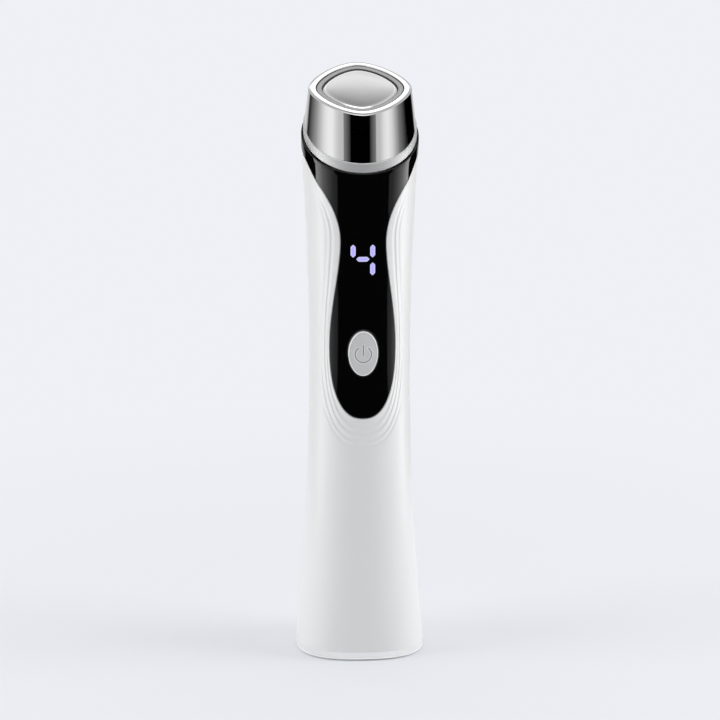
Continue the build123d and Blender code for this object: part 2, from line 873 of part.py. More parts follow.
# Battery cell standing in the saddles, with a nickel tab on each end and a foam pad behind
cap_rim = 0.4
with BuildPart() as battery_cell:
    with Locations((0, 0, cell_bottom)):
        Cylinder(cell_radius, cell_length, align=(Align.CENTER, Align.CENTER, Align.MIN))
    fillet(battery_cell.edges().filter_by(GeomType.CIRCLE), cap_rim)
battery_cell.part.label = "battery_cell"
export_step(battery_cell.part, "parts/battery_cell.step")

tab_top = cell_top + thread_gap + tab_thickness
tab_middle = (tab_centre_reach - tab_reach) / 2
with BuildPart() as battery_tabs:
    for side, tab_bottom in ((1, cell_bottom - thread_gap - tab_thickness), (-1, cell_top + thread_gap)):
        with BuildSketch(Plane.XY.offset(tab_bottom)):
            with Locations((side * tab_shift, tab_middle)):
                Rectangle(2 * tab_half_width, tab_reach + tab_centre_reach)
        extrude(amount=tab_thickness)
battery_tabs.part.label = "battery_tabs"
export_step(battery_tabs.part, "parts/battery_tabs.step")

pad_inset = 1.0
pad_half_width = 6.0
pad_front = 2.0
with BuildPart() as battery_pad:
    pad_back = spine_front - thread_gap
    pad_bottom = saddle_low + saddle_height + pad_inset
    pad_top = saddle_high - pad_inset
    add(upright_box(-pad_half_width, pad_half_width, pad_front, pad_back, pad_bottom, pad_top))
    with Locations((0, 0, cell_bottom)):
        Cylinder(
            cell_radius + cell_gap, cell_length,
            align=(Align.CENTER, Align.CENTER, Align.MIN), mode=Mode.SUBTRACT,
        )
battery_pad.part.label = "battery_pad"
export_step(battery_pad.part, "parts/battery_pad.step")


# Leads of the battery: one from each tab, up into the socket on the board
socket_entry = board_bottom + glue_gap + socket_reach
red_points = [
    (-lead_x, -lead_tab_y, tab_top + thread_gap),
    (-lead_x, -lead_tab_y, tab_top + lead_rise),
    (-lead_x, -lead_y, board_bottom - lead_straight),
    (-lead_x, -lead_y, socket_entry),
]
black_points = [
    (lead_x, -lead_tab_y, cell_bottom),
    (lead_x, -lead_tab_y, cell_top - black_lead_drop),
    (lead_x, -lead_y, cell_top + lead_rise),
    (lead_x, -lead_y, socket_entry),
]
with BuildPart() as positive_lead:
    add(wire(red_points, short_bend))
positive_lead.part.label = "positive_lead"
export_step(positive_lead.part, "parts/positive_lead.step")
with BuildPart() as negative_lead:
    add(wire(black_points, wire_bend))
negative_lead.part.label = "negative_lead"
export_step(negative_lead.part, "parts/negative_lead.step")

# Charge board on the frame's shelf, with the port can at the back
with BuildPart() as charge_board:
    with BuildSketch(Plane.XY.offset(charge_board_bottom)):
        with Locations((0, (charge_board_front + charge_board_back) / 2)):
            Rectangle(2 * charge_board_half_width, charge_board_back - charge_board_front)
        with Locations(charge_screw_places):
            Circle(screw_shank + thread_gap, mode=Mode.SUBTRACT)
    extrude(amount=charge_board_thickness)
charge_board.part.label = "charge_board"
export_step(charge_board.part, "parts/charge_board.step")

charge_board_top = charge_board_bottom + charge_board_thickness
with BuildPart() as charge_screws:
    charge_plane = Plane.XY.offset(charge_board_top)
    add(panhead_screw(charge_plane, charge_screw_places, charge_board_thickness + charge_screw_bite))
charge_screws.part.label = "charge_screws"
export_step(charge_screws.part, "parts/charge_screws.step")

port_back_wall = 1.0
with BuildPart() as port_can:
    with BuildSketch(Plane.XZ.offset(-port_mouth)):
        with Locations((0, port_height)):
            SlotOverall(port_width, port_tall)
    extrude(amount=port_length)
    with BuildSketch(Plane.XZ.offset(-port_mouth)):
        with Locations((0, port_height)):
            SlotOverall(port_width - 2 * port_wall, port_tall - 2 * port_wall)
    extrude(amount=port_length - port_back_wall, mode=Mode.SUBTRACT)
port_can.part.label = "port_can"
export_step(port_can.part, "parts/port_can.step")

tongue_half_width = 3.35
tongue_half_height = 0.35
tongue_setback = 0.7
with BuildPart() as port_tongue:
    tongue_back = port_mouth - tongue_setback
    tongue_root = port_mouth - port_length + port_back_wall
    add(
        upright_box(
            -tongue_half_width, tongue_half_width, tongue_root, tongue_back,
            port_height - tongue_half_height, port_height + tongue_half_height,
        )
    )
port_tongue.part.label = "port_tongue"
export_step(port_tongue.part, "parts/port_tongue.step")

# Charge leads: a pair up the front of the battery to the foot of the main board
charge_lead_top = cell_top + charge_lead_over
with BuildPart() as charge_leads:
    for side in (-1, 1):
        x = side * charge_lead_x
        add(
            wire(
                [
                    (side * charge_pad_x, charge_pad_y, charge_board_top + solder_gap),
                    (side * charge_pad_x, charge_pad_y, charge_board_top + charge_lead_rise),
                    (x, -charge_lead_y, charge_board_top + charge_lead_rise + charge_lead_climb),
                    (x, -charge_lead_y, cell_top),
                    (x, -board_front - charge_lead_stub, charge_lead_top),
                    (x, -board_front - solder_gap, charge_lead_top),
                ],
                short_bend,
            )
        )
charge_leads.part.label = "charge_leads"
export_step(charge_leads.part, "parts/charge_leads.step")

# Base cap: closes the foot, with a flange in the shell's counterbore and a groove for its seal
cap_face_radius = radius_at(shell_bottom) - cap_flange_inset - foot_bevel_inset - cap_gap
cap_plug_inset = shell_wall + cap_gap
with BuildPart() as base_cap:
    extrude(
        to_extrude=outline_face(Plane.XY.offset(cap_bottom), cap_face_radius, squareness_at(0)),
        amount=cap_flange_top - cap_bottom,
    )
    plug_radius = radius_at(cap_top) - cap_plug_inset
    extrude(
        to_extrude=outline_face(Plane.XY.offset(cap_flange_top), plug_radius, squareness_at(0)),
        amount=cap_top - cap_flange_top,
    )
    groove_radius = plug_radius - base_seal_width
    with BuildSketch(Plane.XY.offset(base_seal_bottom - thread_gap)):
        Circle(2 * foot_radius)
        add(outline_face(Plane.XY, groove_radius - thread_gap, squareness_at(0)), mode=Mode.SUBTRACT)
    extrude(amount=base_seal_top - base_seal_bottom + 2 * thread_gap, mode=Mode.SUBTRACT)
    with BuildSketch(Plane.XY.offset(cap_bottom)):
        Circle(foot_ring_outer + thread_gap)
        Circle(foot_ring_inner - thread_gap, mode=Mode.SUBTRACT)
    extrude(amount=foot_ring_depth, mode=Mode.SUBTRACT)
    with Locations(Plane.XY.offset(cap_bottom)):
        with Locations(base_screw_places):
            Cylinder(
                screw_shank + thread_gap, cap_top - cap_bottom,
                align=(Align.CENTER, Align.CENTER, Align.MIN), mode=Mode.SUBTRACT,
            )
            Cylinder(
                screw_head + thread_gap, screw_head_height,
                align=(Align.CENTER, Align.CENTER, Align.MIN), mode=Mode.SUBTRACT,
            )
base_cap.part.label = "base_cap"
export_step(base_cap.part, "parts/base_cap.step")

# Flat rubber seal in the cap's groove, and the rubber ring that the wand stands on
with BuildPart() as base_seal:
    with BuildSketch(Plane.XY.offset(base_seal_bottom)):
        seal_radius = radius_at(base_seal_top) - shell_wall - thread_gap
        add(outline_face(Plane.XY, seal_radius, squareness_at(base_seal_top)))
        add(outline_face(Plane.XY, groove_radius, squareness_at(0)), mode=Mode.SUBTRACT)
    extrude(amount=base_seal_top - base_seal_bottom)
base_seal.part.label = "base_seal"
export_step(base_seal.part, "parts/base_seal.step")

with BuildPart() as foot_ring:
    with BuildSketch():
        Circle(foot_ring_outer)
        Circle(foot_ring_inner, mode=Mode.SUBTRACT)
    extrude(amount=cap_bottom + foot_ring_depth)
    chamfer(foot_ring.faces().sort_by(Axis.Z)[0].edges(), foot_ring_depth / 2)
foot_ring.part.label = "foot_ring"
export_step(foot_ring.part, "parts/foot_ring.step")

with BuildPart() as base_screws:
    head_seat = Plane(origin=(0, 0, cap_bottom + screw_head_height), x_dir=(1, 0, 0), z_dir=(0, 0, -1))
    seat_to_post = cap_top - cap_bottom - screw_head_height
    add(panhead_screw(head_seat, base_screw_places, seat_to_post + base_screw_length - lip_gap))
base_screws.part.label = "base_screws"
export_step(base_screws.part, "parts/base_screws.step")

# Trim ring: a satin band round the neck, cut along the ring's slanted plane
ring_top = ring_height + ring_band
ring_edge = 0.2
with BuildPart() as trim_ring:
    with BuildSketch(Plane.XY.offset(neck_height - foot_radius)):
        Circle(ring_radius)
        Circle(ring_inner_radius, mode=Mode.SUBTRACT)
    extrude(amount=3 * foot_radius)
    add(slanted_space(ring_height, ring_slope, ring_band / hypot(1, ring_slope)), mode=Mode.INTERSECT)
    chamfer(trim_ring.edges().group_by(SortBy.LENGTH)[-1], ring_edge)
trim_ring.part.label = "trim_ring"
export_step(trim_ring.part, "parts/trim_ring.step")


# Head shell: the mirror-finish outer electrode, open in the middle of its flat rim
rim_underside = rim_height - rim_thickness
with BuildPart() as head_shell:
    bevel_start = (rim_height - rim_bevel, rim_slope, head_top_radius, head_exponent)
    add(slanted_loft((ring_top, ring_slope, head_foot_radius, circle_exponent), bevel_start))
    add(slanted_loft(bevel_start, (rim_height, rim_slope, head_top_radius - rim_bevel, head_exponent)))
    inner_foot = (ring_top, ring_slope, head_foot_radius - head_wall, circle_exponent)
    inner_top = (rim_underside, rim_slope, head_top_radius - head_wall, head_exponent)
    add(slanted_loft(inner_foot, inner_top), mode=Mode.SUBTRACT)
    add(rim_prism(rim_underside - rim_thickness, rim_height + rim_thickness, rim_opening), mode=Mode.SUBTRACT)
head_shell.part.label = "head_shell"
export_step(head_shell.part, "parts/head_shell.step")

# Gasket and centre electrode, both seated on the carrier's roof
carrier_top = rim_underside - carrier_gap
with BuildPart() as electrode_gasket:
    add(rim_prism(carrier_top, rim_height - gasket_drop, rim_opening - gasket_gap))
    add(rim_prism(carrier_top - rim_thickness, rim_height, plate_radius + gasket_gap), mode=Mode.SUBTRACT)
electrode_gasket.part.label = "electrode_gasket"
export_step(electrode_gasket.part, "parts/electrode_gasket.step")

plate_top = rim_height - plate_drop
terminal_hole_depth = 4.0
carrier_top_plane = slanted_plane(carrier_top, rim_slope)
stem_end_plane = carrier_top_plane.offset(-stem_length)
with BuildPart() as centre_electrode:
    plate_edge = (plate_top - plate_bevel, rim_slope, plate_radius, head_exponent)
    add(rim_prism(carrier_top, plate_top - plate_bevel, plate_radius))
    add(slanted_loft(plate_edge, (plate_top, rim_slope, plate_radius - plate_bevel, head_exponent)))
    with BuildSketch(carrier_top_plane):
        Circle(stem_radius)
    extrude(amount=-stem_length)
    with BuildSketch(stem_end_plane):
        Circle(screw_shank + thread_gap)
    extrude(amount=terminal_hole_depth, mode=Mode.SUBTRACT)
centre_electrode.part.label = "centre_electrode"
export_step(centre_electrode.part, "parts/centre_electrode.step")

# Head carrier: the insulating core that holds both electrodes and plugs into the neck
strip_half_width = 1.5
strip_thickness = 0.3
strip_front = 14.45
strip_gap = 0.1
strip_rise = 5.3
strip_bottom = carrier_bottom + strip_rise
strip_bend_drop = 2.5
strip_bend = rim_height - strip_bend_drop
strip_tip_reach = 0.75
strip_tip_rise = 1.2
lead_hole_rise = 1.5
lead_hole_height = strip_bottom + lead_hole_rise
head_seal_rise = 2.0
head_seal_height = carrier_bottom + head_seal_rise
head_seal_groove = 0.6
head_seal_radius = 0.44
barrel_radius = ring_inner_radius - carrier_gap
with BuildPart() as carrier_bore_form:
    with BuildSketch(Plane.XY.offset(carrier_bottom)):
        Circle(carrier_bore)
    extrude(amount=rim_height - carrier_bottom + foot_radius)
    roof_plane_height = carrier_top - carrier_roof
    add(slanted_space(roof_plane_height, rim_slope, 2 * foot_radius), mode=Mode.SUBTRACT)

with BuildPart() as head_carrier:
    with BuildSketch(Plane.XY.offset(carrier_bottom)):
        Circle(barrel_radius)
    extrude(amount=2 * foot_radius)
    add(slanted_space(ring_top, ring_slope, 2 * foot_radius), mode=Mode.SUBTRACT)
    carrier_inset = head_wall + carrier_wall_gap
    carrier_foot = (ring_top, ring_slope, head_foot_radius - carrier_inset, circle_exponent)
    carrier_head = (carrier_top, rim_slope, head_top_radius - carrier_inset, head_exponent)
    add(slanted_loft(carrier_foot, carrier_head))
    add(carrier_bore_form.part, mode=Mode.SUBTRACT)
    with BuildSketch(Plane.XY.offset(head_seal_height)):
        Circle(2 * barrel_radius)
        Circle(barrel_radius - head_seal_groove, mode=Mode.SUBTRACT)
    extrude(amount=head_seal_radius + thread_gap, both=True, mode=Mode.SUBTRACT)
    with BuildSketch(carrier_top_plane):
        Circle(stem_radius + thread_gap)
    extrude(amount=-2 * stem_length, mode=Mode.SUBTRACT)
    with BuildSketch(Plane.XY.offset(carrier_bottom)):
        with Locations(head_screw_places):
            Circle(screw_shank + thread_gap)
    extrude(amount=head_screw_depth, mode=Mode.SUBTRACT)
    groove_half = strip_half_width + strip_gap
    add(
        upright_box(
            -groove_half, groove_half, strip_front - strip_gap, foot_radius,
            strip_bottom - strip_gap, strip_bend + 2 * strip_tip_rise,
        ),
        mode=Mode.SUBTRACT,
    )
    with BuildSketch(Plane.XZ):
        with Locations((0, lead_hole_height)):
            Circle(wire_radius + strip_gap)
    extrude(amount=-foot_radius, mode=Mode.SUBTRACT)
head_carrier.part.label = "head_carrier"
export_step(head_carrier.part, "parts/head_carrier.step")

with BuildPart() as head_seal:
    with Locations((0, 0, head_seal_height)):
        Torus(barrel_radius - head_seal_groove + head_seal_radius + thread_gap, head_seal_radius)
head_seal.part.label = "head_seal"
export_step(head_seal.part, "parts/head_seal.step")

with BuildPart() as head_screws:
    screw_seat = Plane(origin=(0, 0, flange_bottom), x_dir=(1, 0, 0), z_dir=(0, 0, -1))
    seat_places = [(x, -y) for x, y in head_screw_places]
    add(panhead_screw(screw_seat, seat_places, flange_thickness + head_screw_depth - lip_gap))
head_screws.part.label = "head_screws"
export_step(head_screws.part, "parts/head_screws.step")

# Contact strip that touches the head shell's inner wall, in its groove at the back
with BuildPart() as rim_strip:
    with BuildSketch(Plane.YZ.offset(-strip_half_width)):
        with BuildLine():
            strip_back = strip_front + strip_thickness
            tip_y = strip_back + strip_tip_reach
            Polyline(
                (strip_front, strip_bottom),
                (strip_back, strip_bottom),
                (strip_back, strip_bend),
                (tip_y, strip_bend + strip_tip_rise),
                (tip_y - strip_thickness / 2, strip_bend + strip_tip_rise + strip_thickness),
                (strip_front, strip_bend + strip_thickness / 2),
                close=True,
            )
        make_face()
    extrude(amount=2 * strip_half_width)
rim_strip.part.label = "rim_strip"
export_step(rim_strip.part, "parts/rim_strip.step")

# Ring terminal and its screw on the end of the centre electrode's stem
terminal_radius = 2.6
terminal_length = 6.2
terminal_thickness = 0.4
with BuildPart() as centre_terminal:
    with BuildSketch(stem_end_plane):
        Circle(terminal_radius)
        with Locations((0, terminal_length / 2)):
            Rectangle(terminal_radius, terminal_length)
        Circle(screw_shank + thread_gap, mode=Mode.SUBTRACT)
    extrude(amount=-terminal_thickness)
centre_terminal.part.label = "centre_terminal"
export_step(centre_terminal.part, "parts/centre_terminal.step")

with BuildPart() as terminal_screw:
    terminal_face = stem_end_plane.offset(-terminal_thickness)
    terminal_seat = Plane(origin=terminal_face.origin, x_dir=(1, 0, 0), z_dir=-terminal_face.z_dir)
    add(panhead_screw(terminal_seat, [(0, 0)], terminal_thickness + terminal_hole_depth - lip_gap))
terminal_screw.part.label = "terminal_screw"
export_step(terminal_screw.part, "parts/terminal_screw.step")

# Leads of the two electrodes, down through the carrier's bore to the back of the main board
tail_point = terminal_face.from_local_coords((0, terminal_length - tail_inset, 0))
board_face_y = -board_back + thread_gap
with BuildPart() as centre_lead:
    add(
        wire(
            [
                (0, tail_point.Y, tail_point.Z - tail_gap),
                (0, tail_point.Y, tail_point.Z - tail_drop),
                (lead_x, tail_point.Y, lead_hole_height - tail_step),
                (lead_x, tail_point.Y, carrier_bottom - neck_drop),
                (lead_x, plate_back + gate_run, gate_height),
                (lead_x, board_face_y, gate_height),
            ],
            wire_bend,
        )
    )
centre_lead.part.label = "centre_lead"
export_step(centre_lead.part, "parts/centre_lead.step")

with BuildPart() as rim_lead:
    add(
        wire(
            [
                (0, strip_front - thread_gap, lead_hole_height),
                (0, carrier_bore - bore_inset, lead_hole_height),
                (-lead_x, carrier_bore - bore_run, lead_hole_height - bore_drop),
                (-lead_x, carrier_bore - bore_run, carrier_bottom - neck_drop),
                (-lead_x, plate_back + gate_run, gate_height + gate_rise),
                (-lead_x, board_face_y, gate_height + gate_rise),
            ],
            rim_lead_bend,
        )
    )
rim_lead.part.label = "rim_lead"
export_step(rim_lead.part, "parts/rim_lead.step")
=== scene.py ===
"""Dresses a microcurrent facial wand: its outer skins, its finishes, a plain studio and the camera."""
import logging
import math
from collections.abc import Callable, Iterable, Sequence
from dataclasses import dataclass, field, replace
from enum import Enum
from typing import ClassVar

import bmesh
import bpy
import numpy as np
from mathutils import Matrix, Vector
from mathutils.geometry import delaunay_2d_cdt


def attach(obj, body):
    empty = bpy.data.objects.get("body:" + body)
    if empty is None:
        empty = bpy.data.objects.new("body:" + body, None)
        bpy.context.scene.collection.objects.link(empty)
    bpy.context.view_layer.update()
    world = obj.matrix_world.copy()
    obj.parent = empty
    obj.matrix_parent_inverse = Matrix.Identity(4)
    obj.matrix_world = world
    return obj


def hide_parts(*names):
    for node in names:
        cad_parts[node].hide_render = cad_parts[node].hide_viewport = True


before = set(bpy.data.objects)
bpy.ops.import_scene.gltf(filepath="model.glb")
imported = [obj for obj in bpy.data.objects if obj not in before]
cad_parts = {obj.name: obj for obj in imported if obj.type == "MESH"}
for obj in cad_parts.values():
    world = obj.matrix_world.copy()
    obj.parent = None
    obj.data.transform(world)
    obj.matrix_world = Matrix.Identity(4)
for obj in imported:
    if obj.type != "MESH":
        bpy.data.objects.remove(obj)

LOG = logging.getLogger("wand")
MM = 0.001
MAIN_BODY = "body"
BUTTON_BODY = "button"
WELD = 2e-6
SKIN_RADIUS = 17.0       # millimetres for a radian of the skin where it is laid out flat

Flat = tuple[float, float]
Point = tuple[float, float, float]
Colour = tuple[float, float, float]
Paint = str | Colour
Span = tuple[float, float, float, float]


def linear(paint: Paint) -> Colour:
    """Turns a display colour into the linear one that a shader takes.

    Args:
        paint: Six hexadecimal digits, two for each of red, green and blue, or a colour that is linear already.

    Returns:
        The three linear values.
    """
    if isinstance(paint, tuple):
        return paint
    values = [int(paint[place:place + 2], 16) / 255 for place in (0, 2, 4)]
    return tuple(v / 12.92 if v <= 0.04045 else ((v + 0.055) / 1.055) ** 2.4 for v in values)


def smooth(value: float, low: float, high: float) -> float:
    """Rises smoothly from 0 at low to 1 at high, or falls where high is below low."""
    share = min(1.0, max(0.0, (value - low) / (high - low)))
    return share * share * (3 - 2 * share)


def between(first: Iterable[float], second: Iterable[float], share: float) -> tuple[float, ...]:
    """Values part of the way from the first ones to the second ones."""
    return tuple(a + (b - a) * share for a, b in zip(first, second))


def halved(low: float, high: float, short: Callable[[float], bool], rounds: int) -> float:
    """Finds by halving where a test stops holding.

    Args:
        low: Value at which it holds.
        high: Value at which it doesn't.
        short: The test.
        rounds: How often the span is halved.

    Returns:
        The value between.
    """
    for _ in range(rounds):
        middle = (low + high) / 2
        low, high = (middle, high) if short(middle) else (low, middle)
    return (low + high) / 2


def narrowed(turn: float, power: float) -> float:
    """Number that a half width is divided by for the reach of a rounded square at a turn."""
    return (abs(math.sin(turn)) ** power + abs(math.cos(turn)) ** power) ** (1 / power)


# The body's form, and the lines that divide its skin

@dataclass(frozen=True)
class BodyProfile:
    """The hourglass tube, in millimetres, with turns counted from the front in radians."""

    foot_radius: float = 20.1
    waist_radius: float = 15.7
    neck_radius: float = 18.2
    waist_height: float = 90.0
    neck_height: float = 161.0
    foot_squareness: float = 2.5
    circle: float = 2.0

    def shares(self, height: float) -> Flat:
        """How far a height lies from the waist to the foot, and from the waist to the neck."""
        up = (height - self.waist_height) / (self.neck_height - self.waist_height)
        return max(0.0, (self.waist_height - height) / self.waist_height), min(1.0, max(0.0, up))

    def radius(self, height: float) -> float:
        """Half width of the body at a height."""
        ends = zip(self.shares(height), (self.foot_radius, self.neck_radius))
        return self.waist_radius + sum((end - self.waist_radius) * share ** 2 for share, end in ends)

    def spread(self, turn: float, height: float) -> float:
        """Number that the plain radius is divided by for the reach of the section at a turn."""
        return narrowed(turn, self.circle + (self.foot_squareness - self.circle) * self.shares(height)[0])

    def reach(self, turn: float, height: float) -> float:
        """Distance from the axis to the skin."""
        return self.radius(height) / self.spread(turn, height)

    def turn_at(self, x: float, height: float, inset: float = 0.0) -> float:
        """Turn at which the front of the skin lies at a sideways place.

        Args:
            x: Sideways place in the front view.
            height: Height of the point.
            inset: Depth under the skin.

        Returns:
            The turn, negative on the left.
        """
        radius = self.radius(height) - inset
        turn = halved(0.0, math.pi / 2, lambda t: radius / self.spread(t, height) * math.sin(t) < abs(x), 40)
        return math.copysign(turn, x)

    def unwrap(self, x: float, y: float, height: float) -> Point:
        """Turn, inset and height of a point given by its place.

        Args:
            x: Sideways place.
            y: Place from front to back.
            height: Height of the point.

        Returns:
            Turn, inset and height, with turns at the back counted on from the left.
        """
        turn = math.atan2(x, -y)
        if turn > math.pi / 2:
            turn -= 2 * math.pi
        return turn, self.radius(height) - math.hypot(x, y) * self.spread(turn, height), height


@dataclass(frozen=True)
class SlantedCut:
    """A plane that falls towards the front: its height on the axis and its slope."""

    height: float
    slope: float

    def at(self, turn: float) -> float:
        """Height at which the plane meets the skin.

        Args:
            turn: Turn from the front.

        Returns:
            The height, found in rounds because the skin's reach depends on it.
        """
        height = self.height
        for _ in range(12):
            height = self.height - self.slope * PROFILE.reach(turn, height) * math.cos(turn)
        return height


@dataclass(frozen=True)
class PanelOutline:
    """Front view of the panel's edge, and of the ripple lines that echo it further out."""

    bulge_half: float = 10.28
    bulge_height: float = 100.0
    drop: float = 22.7
    waist_half: float = 7.07
    waist_rise: float = 33.4
    waist_lean: float = 0.92
    flare: tuple[Flat, ...] = ((9.2, 143.2), (11.55, 147.6), (14.45, 152.0))
    join: Flat = (17.75, 158.23)
    join_lean: float = 0.6
    bottom_growth: tuple[float, ...] = (0.0, 3.2, 5.4, 7.6, 9.1)
    bulge_growth: tuple[float, ...] = (0.0, 0.7, 1.47, 2.4, 3.3)
    waist_growth: tuple[float, ...] = (0.0, 1.5, 3.03, 4.4, 5.8)
    bottom_power: tuple[float, ...] = (2.4, 2.5, 2.6, 2.7, 2.7)
    growth_taper: float = 0.012
    ripple_top: float = 152.0
    bottom_spans: int = 23
    span: float = 1.2

    @property
    def waist_height(self) -> float:
        """Height of the panel's waist."""
        return self.bulge_height + self.waist_rise

    @staticmethod
    def grown(amounts: Sequence[float], ripple: float) -> float:
        """Value of one of the growth tables at a ripple number, going on past its ends."""
        place = min(max(int(ripple), 0), len(amounts) - 2)
        return amounts[place] + (ripple - place) * (amounts[place + 1] - amounts[place])

    def flare_points(self, steps: int = 8) -> list[Flat]:
        """Smooth curve from the waist, through the flare, to where it joins the collar.

        Args:
            steps: Spans between one given point and the next.

        Returns:
            Half widths and heights from the waist up.
        """
        given = [Vector(knot) for knot in ((self.waist_half, self.waist_height), *self.flare, self.join)]
        slopes = [Vector((0, 1))]
        for before, knot, after in zip(given, given[1:], given[2:]):
            first, second = knot - before, after - knot
            weight = first.length / (first.length + second.length)
            slopes.append(first.normalized() * (1 - weight) + second.normalized() * weight)
        slopes.append(Vector((self.join_lean, 1)).normalized())
        points = []
        for start, end, leave, arrive in zip(given, given[1:], slopes, slopes[1:]):
            span = (end - start).length
            for t in (step / steps for step in range(steps)):
                points.append(
                    start * (2 * t ** 3 - 3 * t ** 2 + 1) + leave * span * (t ** 3 - 2 * t ** 2 + t)
                    + end * (3 * t ** 2 - 2 * t ** 3) + arrive * span * (t ** 3 - t ** 2)
                )
        return [(point.x, point.y) for point in (*points, given[-1])]

    def half_at(self, height: float, ripple: float = 0.0) -> float:
        """Half width of the panel, or of a ripple line, above the bulge.

        Args:
            height: Height, from the bulge up.
            ripple: Number of the ripple line, 0 for the panel itself.

        Returns:
            The half width.
        """
        waist = self.grown(self.waist_growth, ripple)
        if height <= self.waist_height:
            bulge = self.grown(self.bulge_growth, ripple)
            blend = smooth(((self.waist_height - height) / self.waist_rise) ** self.waist_lean, 0, 1)
            return self.waist_half + waist + (self.bulge_half + bulge - self.waist_half - waist) * blend
        plain = float(np.interp(height, [z for _, z in FLARE_CURVE], [x for x, _ in FLARE_CURVE]))
        return plain + waist * (1 - self.growth_taper * (height - self.waist_height))

    def bottom(self, ripple: float) -> Point:
        """Exponent, half width and drop of the rounded bottom of a line."""
        tables = (self.bottom_power, self.bulge_growth, self.bottom_growth)
        plain = (0.0, self.bulge_half, self.drop)
        return tuple(start + self.grown(table, ripple) for start, table in zip(plain, tables))

    def outside(self, x: float, height: float, ripple: float) -> bool:
        """Tells whether a point lies outside a ripple line.

        Args:
            x: Sideways place in the front view.
            height: Height of the point.
            ripple: Number of the line.

        Returns:
            True where it does.
        """
        if height >= self.bulge_height:
            return abs(x) > self.half_at(height, ripple)
        power, half, drop = self.bottom(ripple)
        return (abs(x) / half) ** power + ((self.bulge_height - height) / drop) ** power > 1

    def ripple_number(self, x: float, height: float) -> float:
        """Number of the ripple line through a point, from -1 inside the panel to 6 far outside it."""
        return halved(-1.0, 6.0, lambda ripple: self.outside(x, height, ripple), 24)

    def half_curve(self, ripple: float) -> list[Flat]:
        """Right half of the panel's edge or of a ripple line, from the bottom up.

        Args:
            ripple: Number of the line, 0 for the panel's edge.

        Returns:
            Sideways places and heights.
        """
        power, half, drop = self.bottom(ripple)
        points = []
        for angle in (math.pi / 2 * place / self.bottom_spans for place in range(self.bottom_spans)):
            reach = 1 / narrowed(angle, power)
            points.append((half * reach * math.sin(angle), self.bulge_height - drop * reach * math.cos(angle)))
        rises = round(self.waist_rise / self.span)
        heights = [self.bulge_height + self.waist_rise * place / rises for place in range(rises)]
        if ripple:
            climb = self.ripple_top - self.waist_height
            climbs = round(climb / self.span)
            heights += [self.waist_height + climb * place / climbs for place in range(climbs + 1)]
        points += [(self.half_at(height, ripple), height) for height in heights]
        return points if ripple else points + FLARE_CURVE


PROFILE = BodyProfile()
OUTLINE = PanelOutline()
FLARE_CURVE = OUTLINE.flare_points()


# Lines and meshes laid out flat round the body

def unrolled(inset: float) -> Callable[[float, float], Point]:
    """Places a turn and a height at an inset."""
    return lambda turn, height: (turn, inset, height)


def in_front(inset: float) -> Callable[[float, float], Point]:
    """Places a point of the front view at an inset."""
    return lambda x, height: (PROFILE.turn_at(x, height, inset), inset, height)


def at_inset(line: Sequence[Flat], inset: float) -> list[Point]:
    """Gives each point of a line of turns and heights the same inset."""
    return [(turn, inset, height) for turn, height in line]


def from_front(line: Sequence[Flat], inset: float) -> list[Point]:
    """Turn, inset and height of points given in the front view."""
    return [in_front(inset)(*point) for point in line]


def from_back(line: Sequence[Flat], inset: float) -> list[Point]:
    """Turn, inset and height of points at the back, given by sideways place and height."""
    return [(-math.pi - PROFILE.turn_at(x, height, inset), inset, height) for x, height in line]


def flattened(line: Sequence[Point]) -> list[Flat]:
    """Turns and heights of a line, without its insets."""
    return [(turn, height) for turn, _, height in line]


def both_halves(right: Sequence[Flat]) -> list[Flat]:
    """A line given by its right half, from the left end to the right end."""
    return [(-turn, height) for turn, height in reversed(right[1:])] + right


def shifted(line: Sequence[Flat], distance: float, closed: bool, scale: float = SKIN_RADIUS) -> list[Flat]:
    """Moves a line sideways in its plane, to its left for a positive distance.

    Args:
        line: Turns and heights, or sideways places and heights where scale is 1.
        distance: How far it moves.
        closed: Whether its last point meets its first.
        scale: Millimetres for a unit of the first coordinate.

    Returns:
        The moved line. The ends of an open one move straight up or down.
    """
    count = len(line)
    moved = []
    for place, (u, v) in enumerate(line):
        if not closed and place in (0, count - 1):
            moved.append((u, v + distance))
            continue
        before, after = line[place - 1], line[(place + 1) % count]
        along = Vector(((after[0] - before[0]) * scale, after[1] - before[1])).normalized()
        moved.append((u - along.y * distance / scale, v + along.x * distance))
    return moved


def divided(corners: Sequence[Flat], cuts: Sequence[int]) -> list[Flat]:
    """Closed outline with points added along its sides.

    Args:
        corners: Its corners.
        cuts: Spans of each side, used over again where there are more sides.

    Returns:
        The points in order.
    """
    points = []
    for place, corner in enumerate(corners):
        after, spans = corners[(place + 1) % len(corners)], cuts[place % len(cuts)]
        points += [between(corner, after, step / spans) for step in range(spans)]
    return points


def oval(half_width: float, half_height: float, centre: float, steps: int) -> list[Flat]:
    """Closed oval in the front view, counted anticlockwise from its right end."""
    turns = [2 * math.pi * step / steps for step in range(steps)]
    return [(half_width * math.cos(t), centre + half_height * math.sin(t)) for t in turns]


def arc(radius: float, start: float, end: float, steps: int, centre: Flat = (0.0, 0.0), skip: int = 0) -> list[Flat]:
    """Points along an arc.

    Args:
        radius: Its radius.
        start: Angle of its first point.
        end: Angle of its last point.
        steps: Spans between the two.
        centre: Its centre.
        skip: Points left out at each end.

    Returns:
        The points in order.
    """
    turns = [start + (end - start) * step / steps for step in range(skip, steps + 1 - skip)]
    return [(centre[0] + radius * math.cos(turn), centre[1] + radius * math.sin(turn)) for turn in turns]


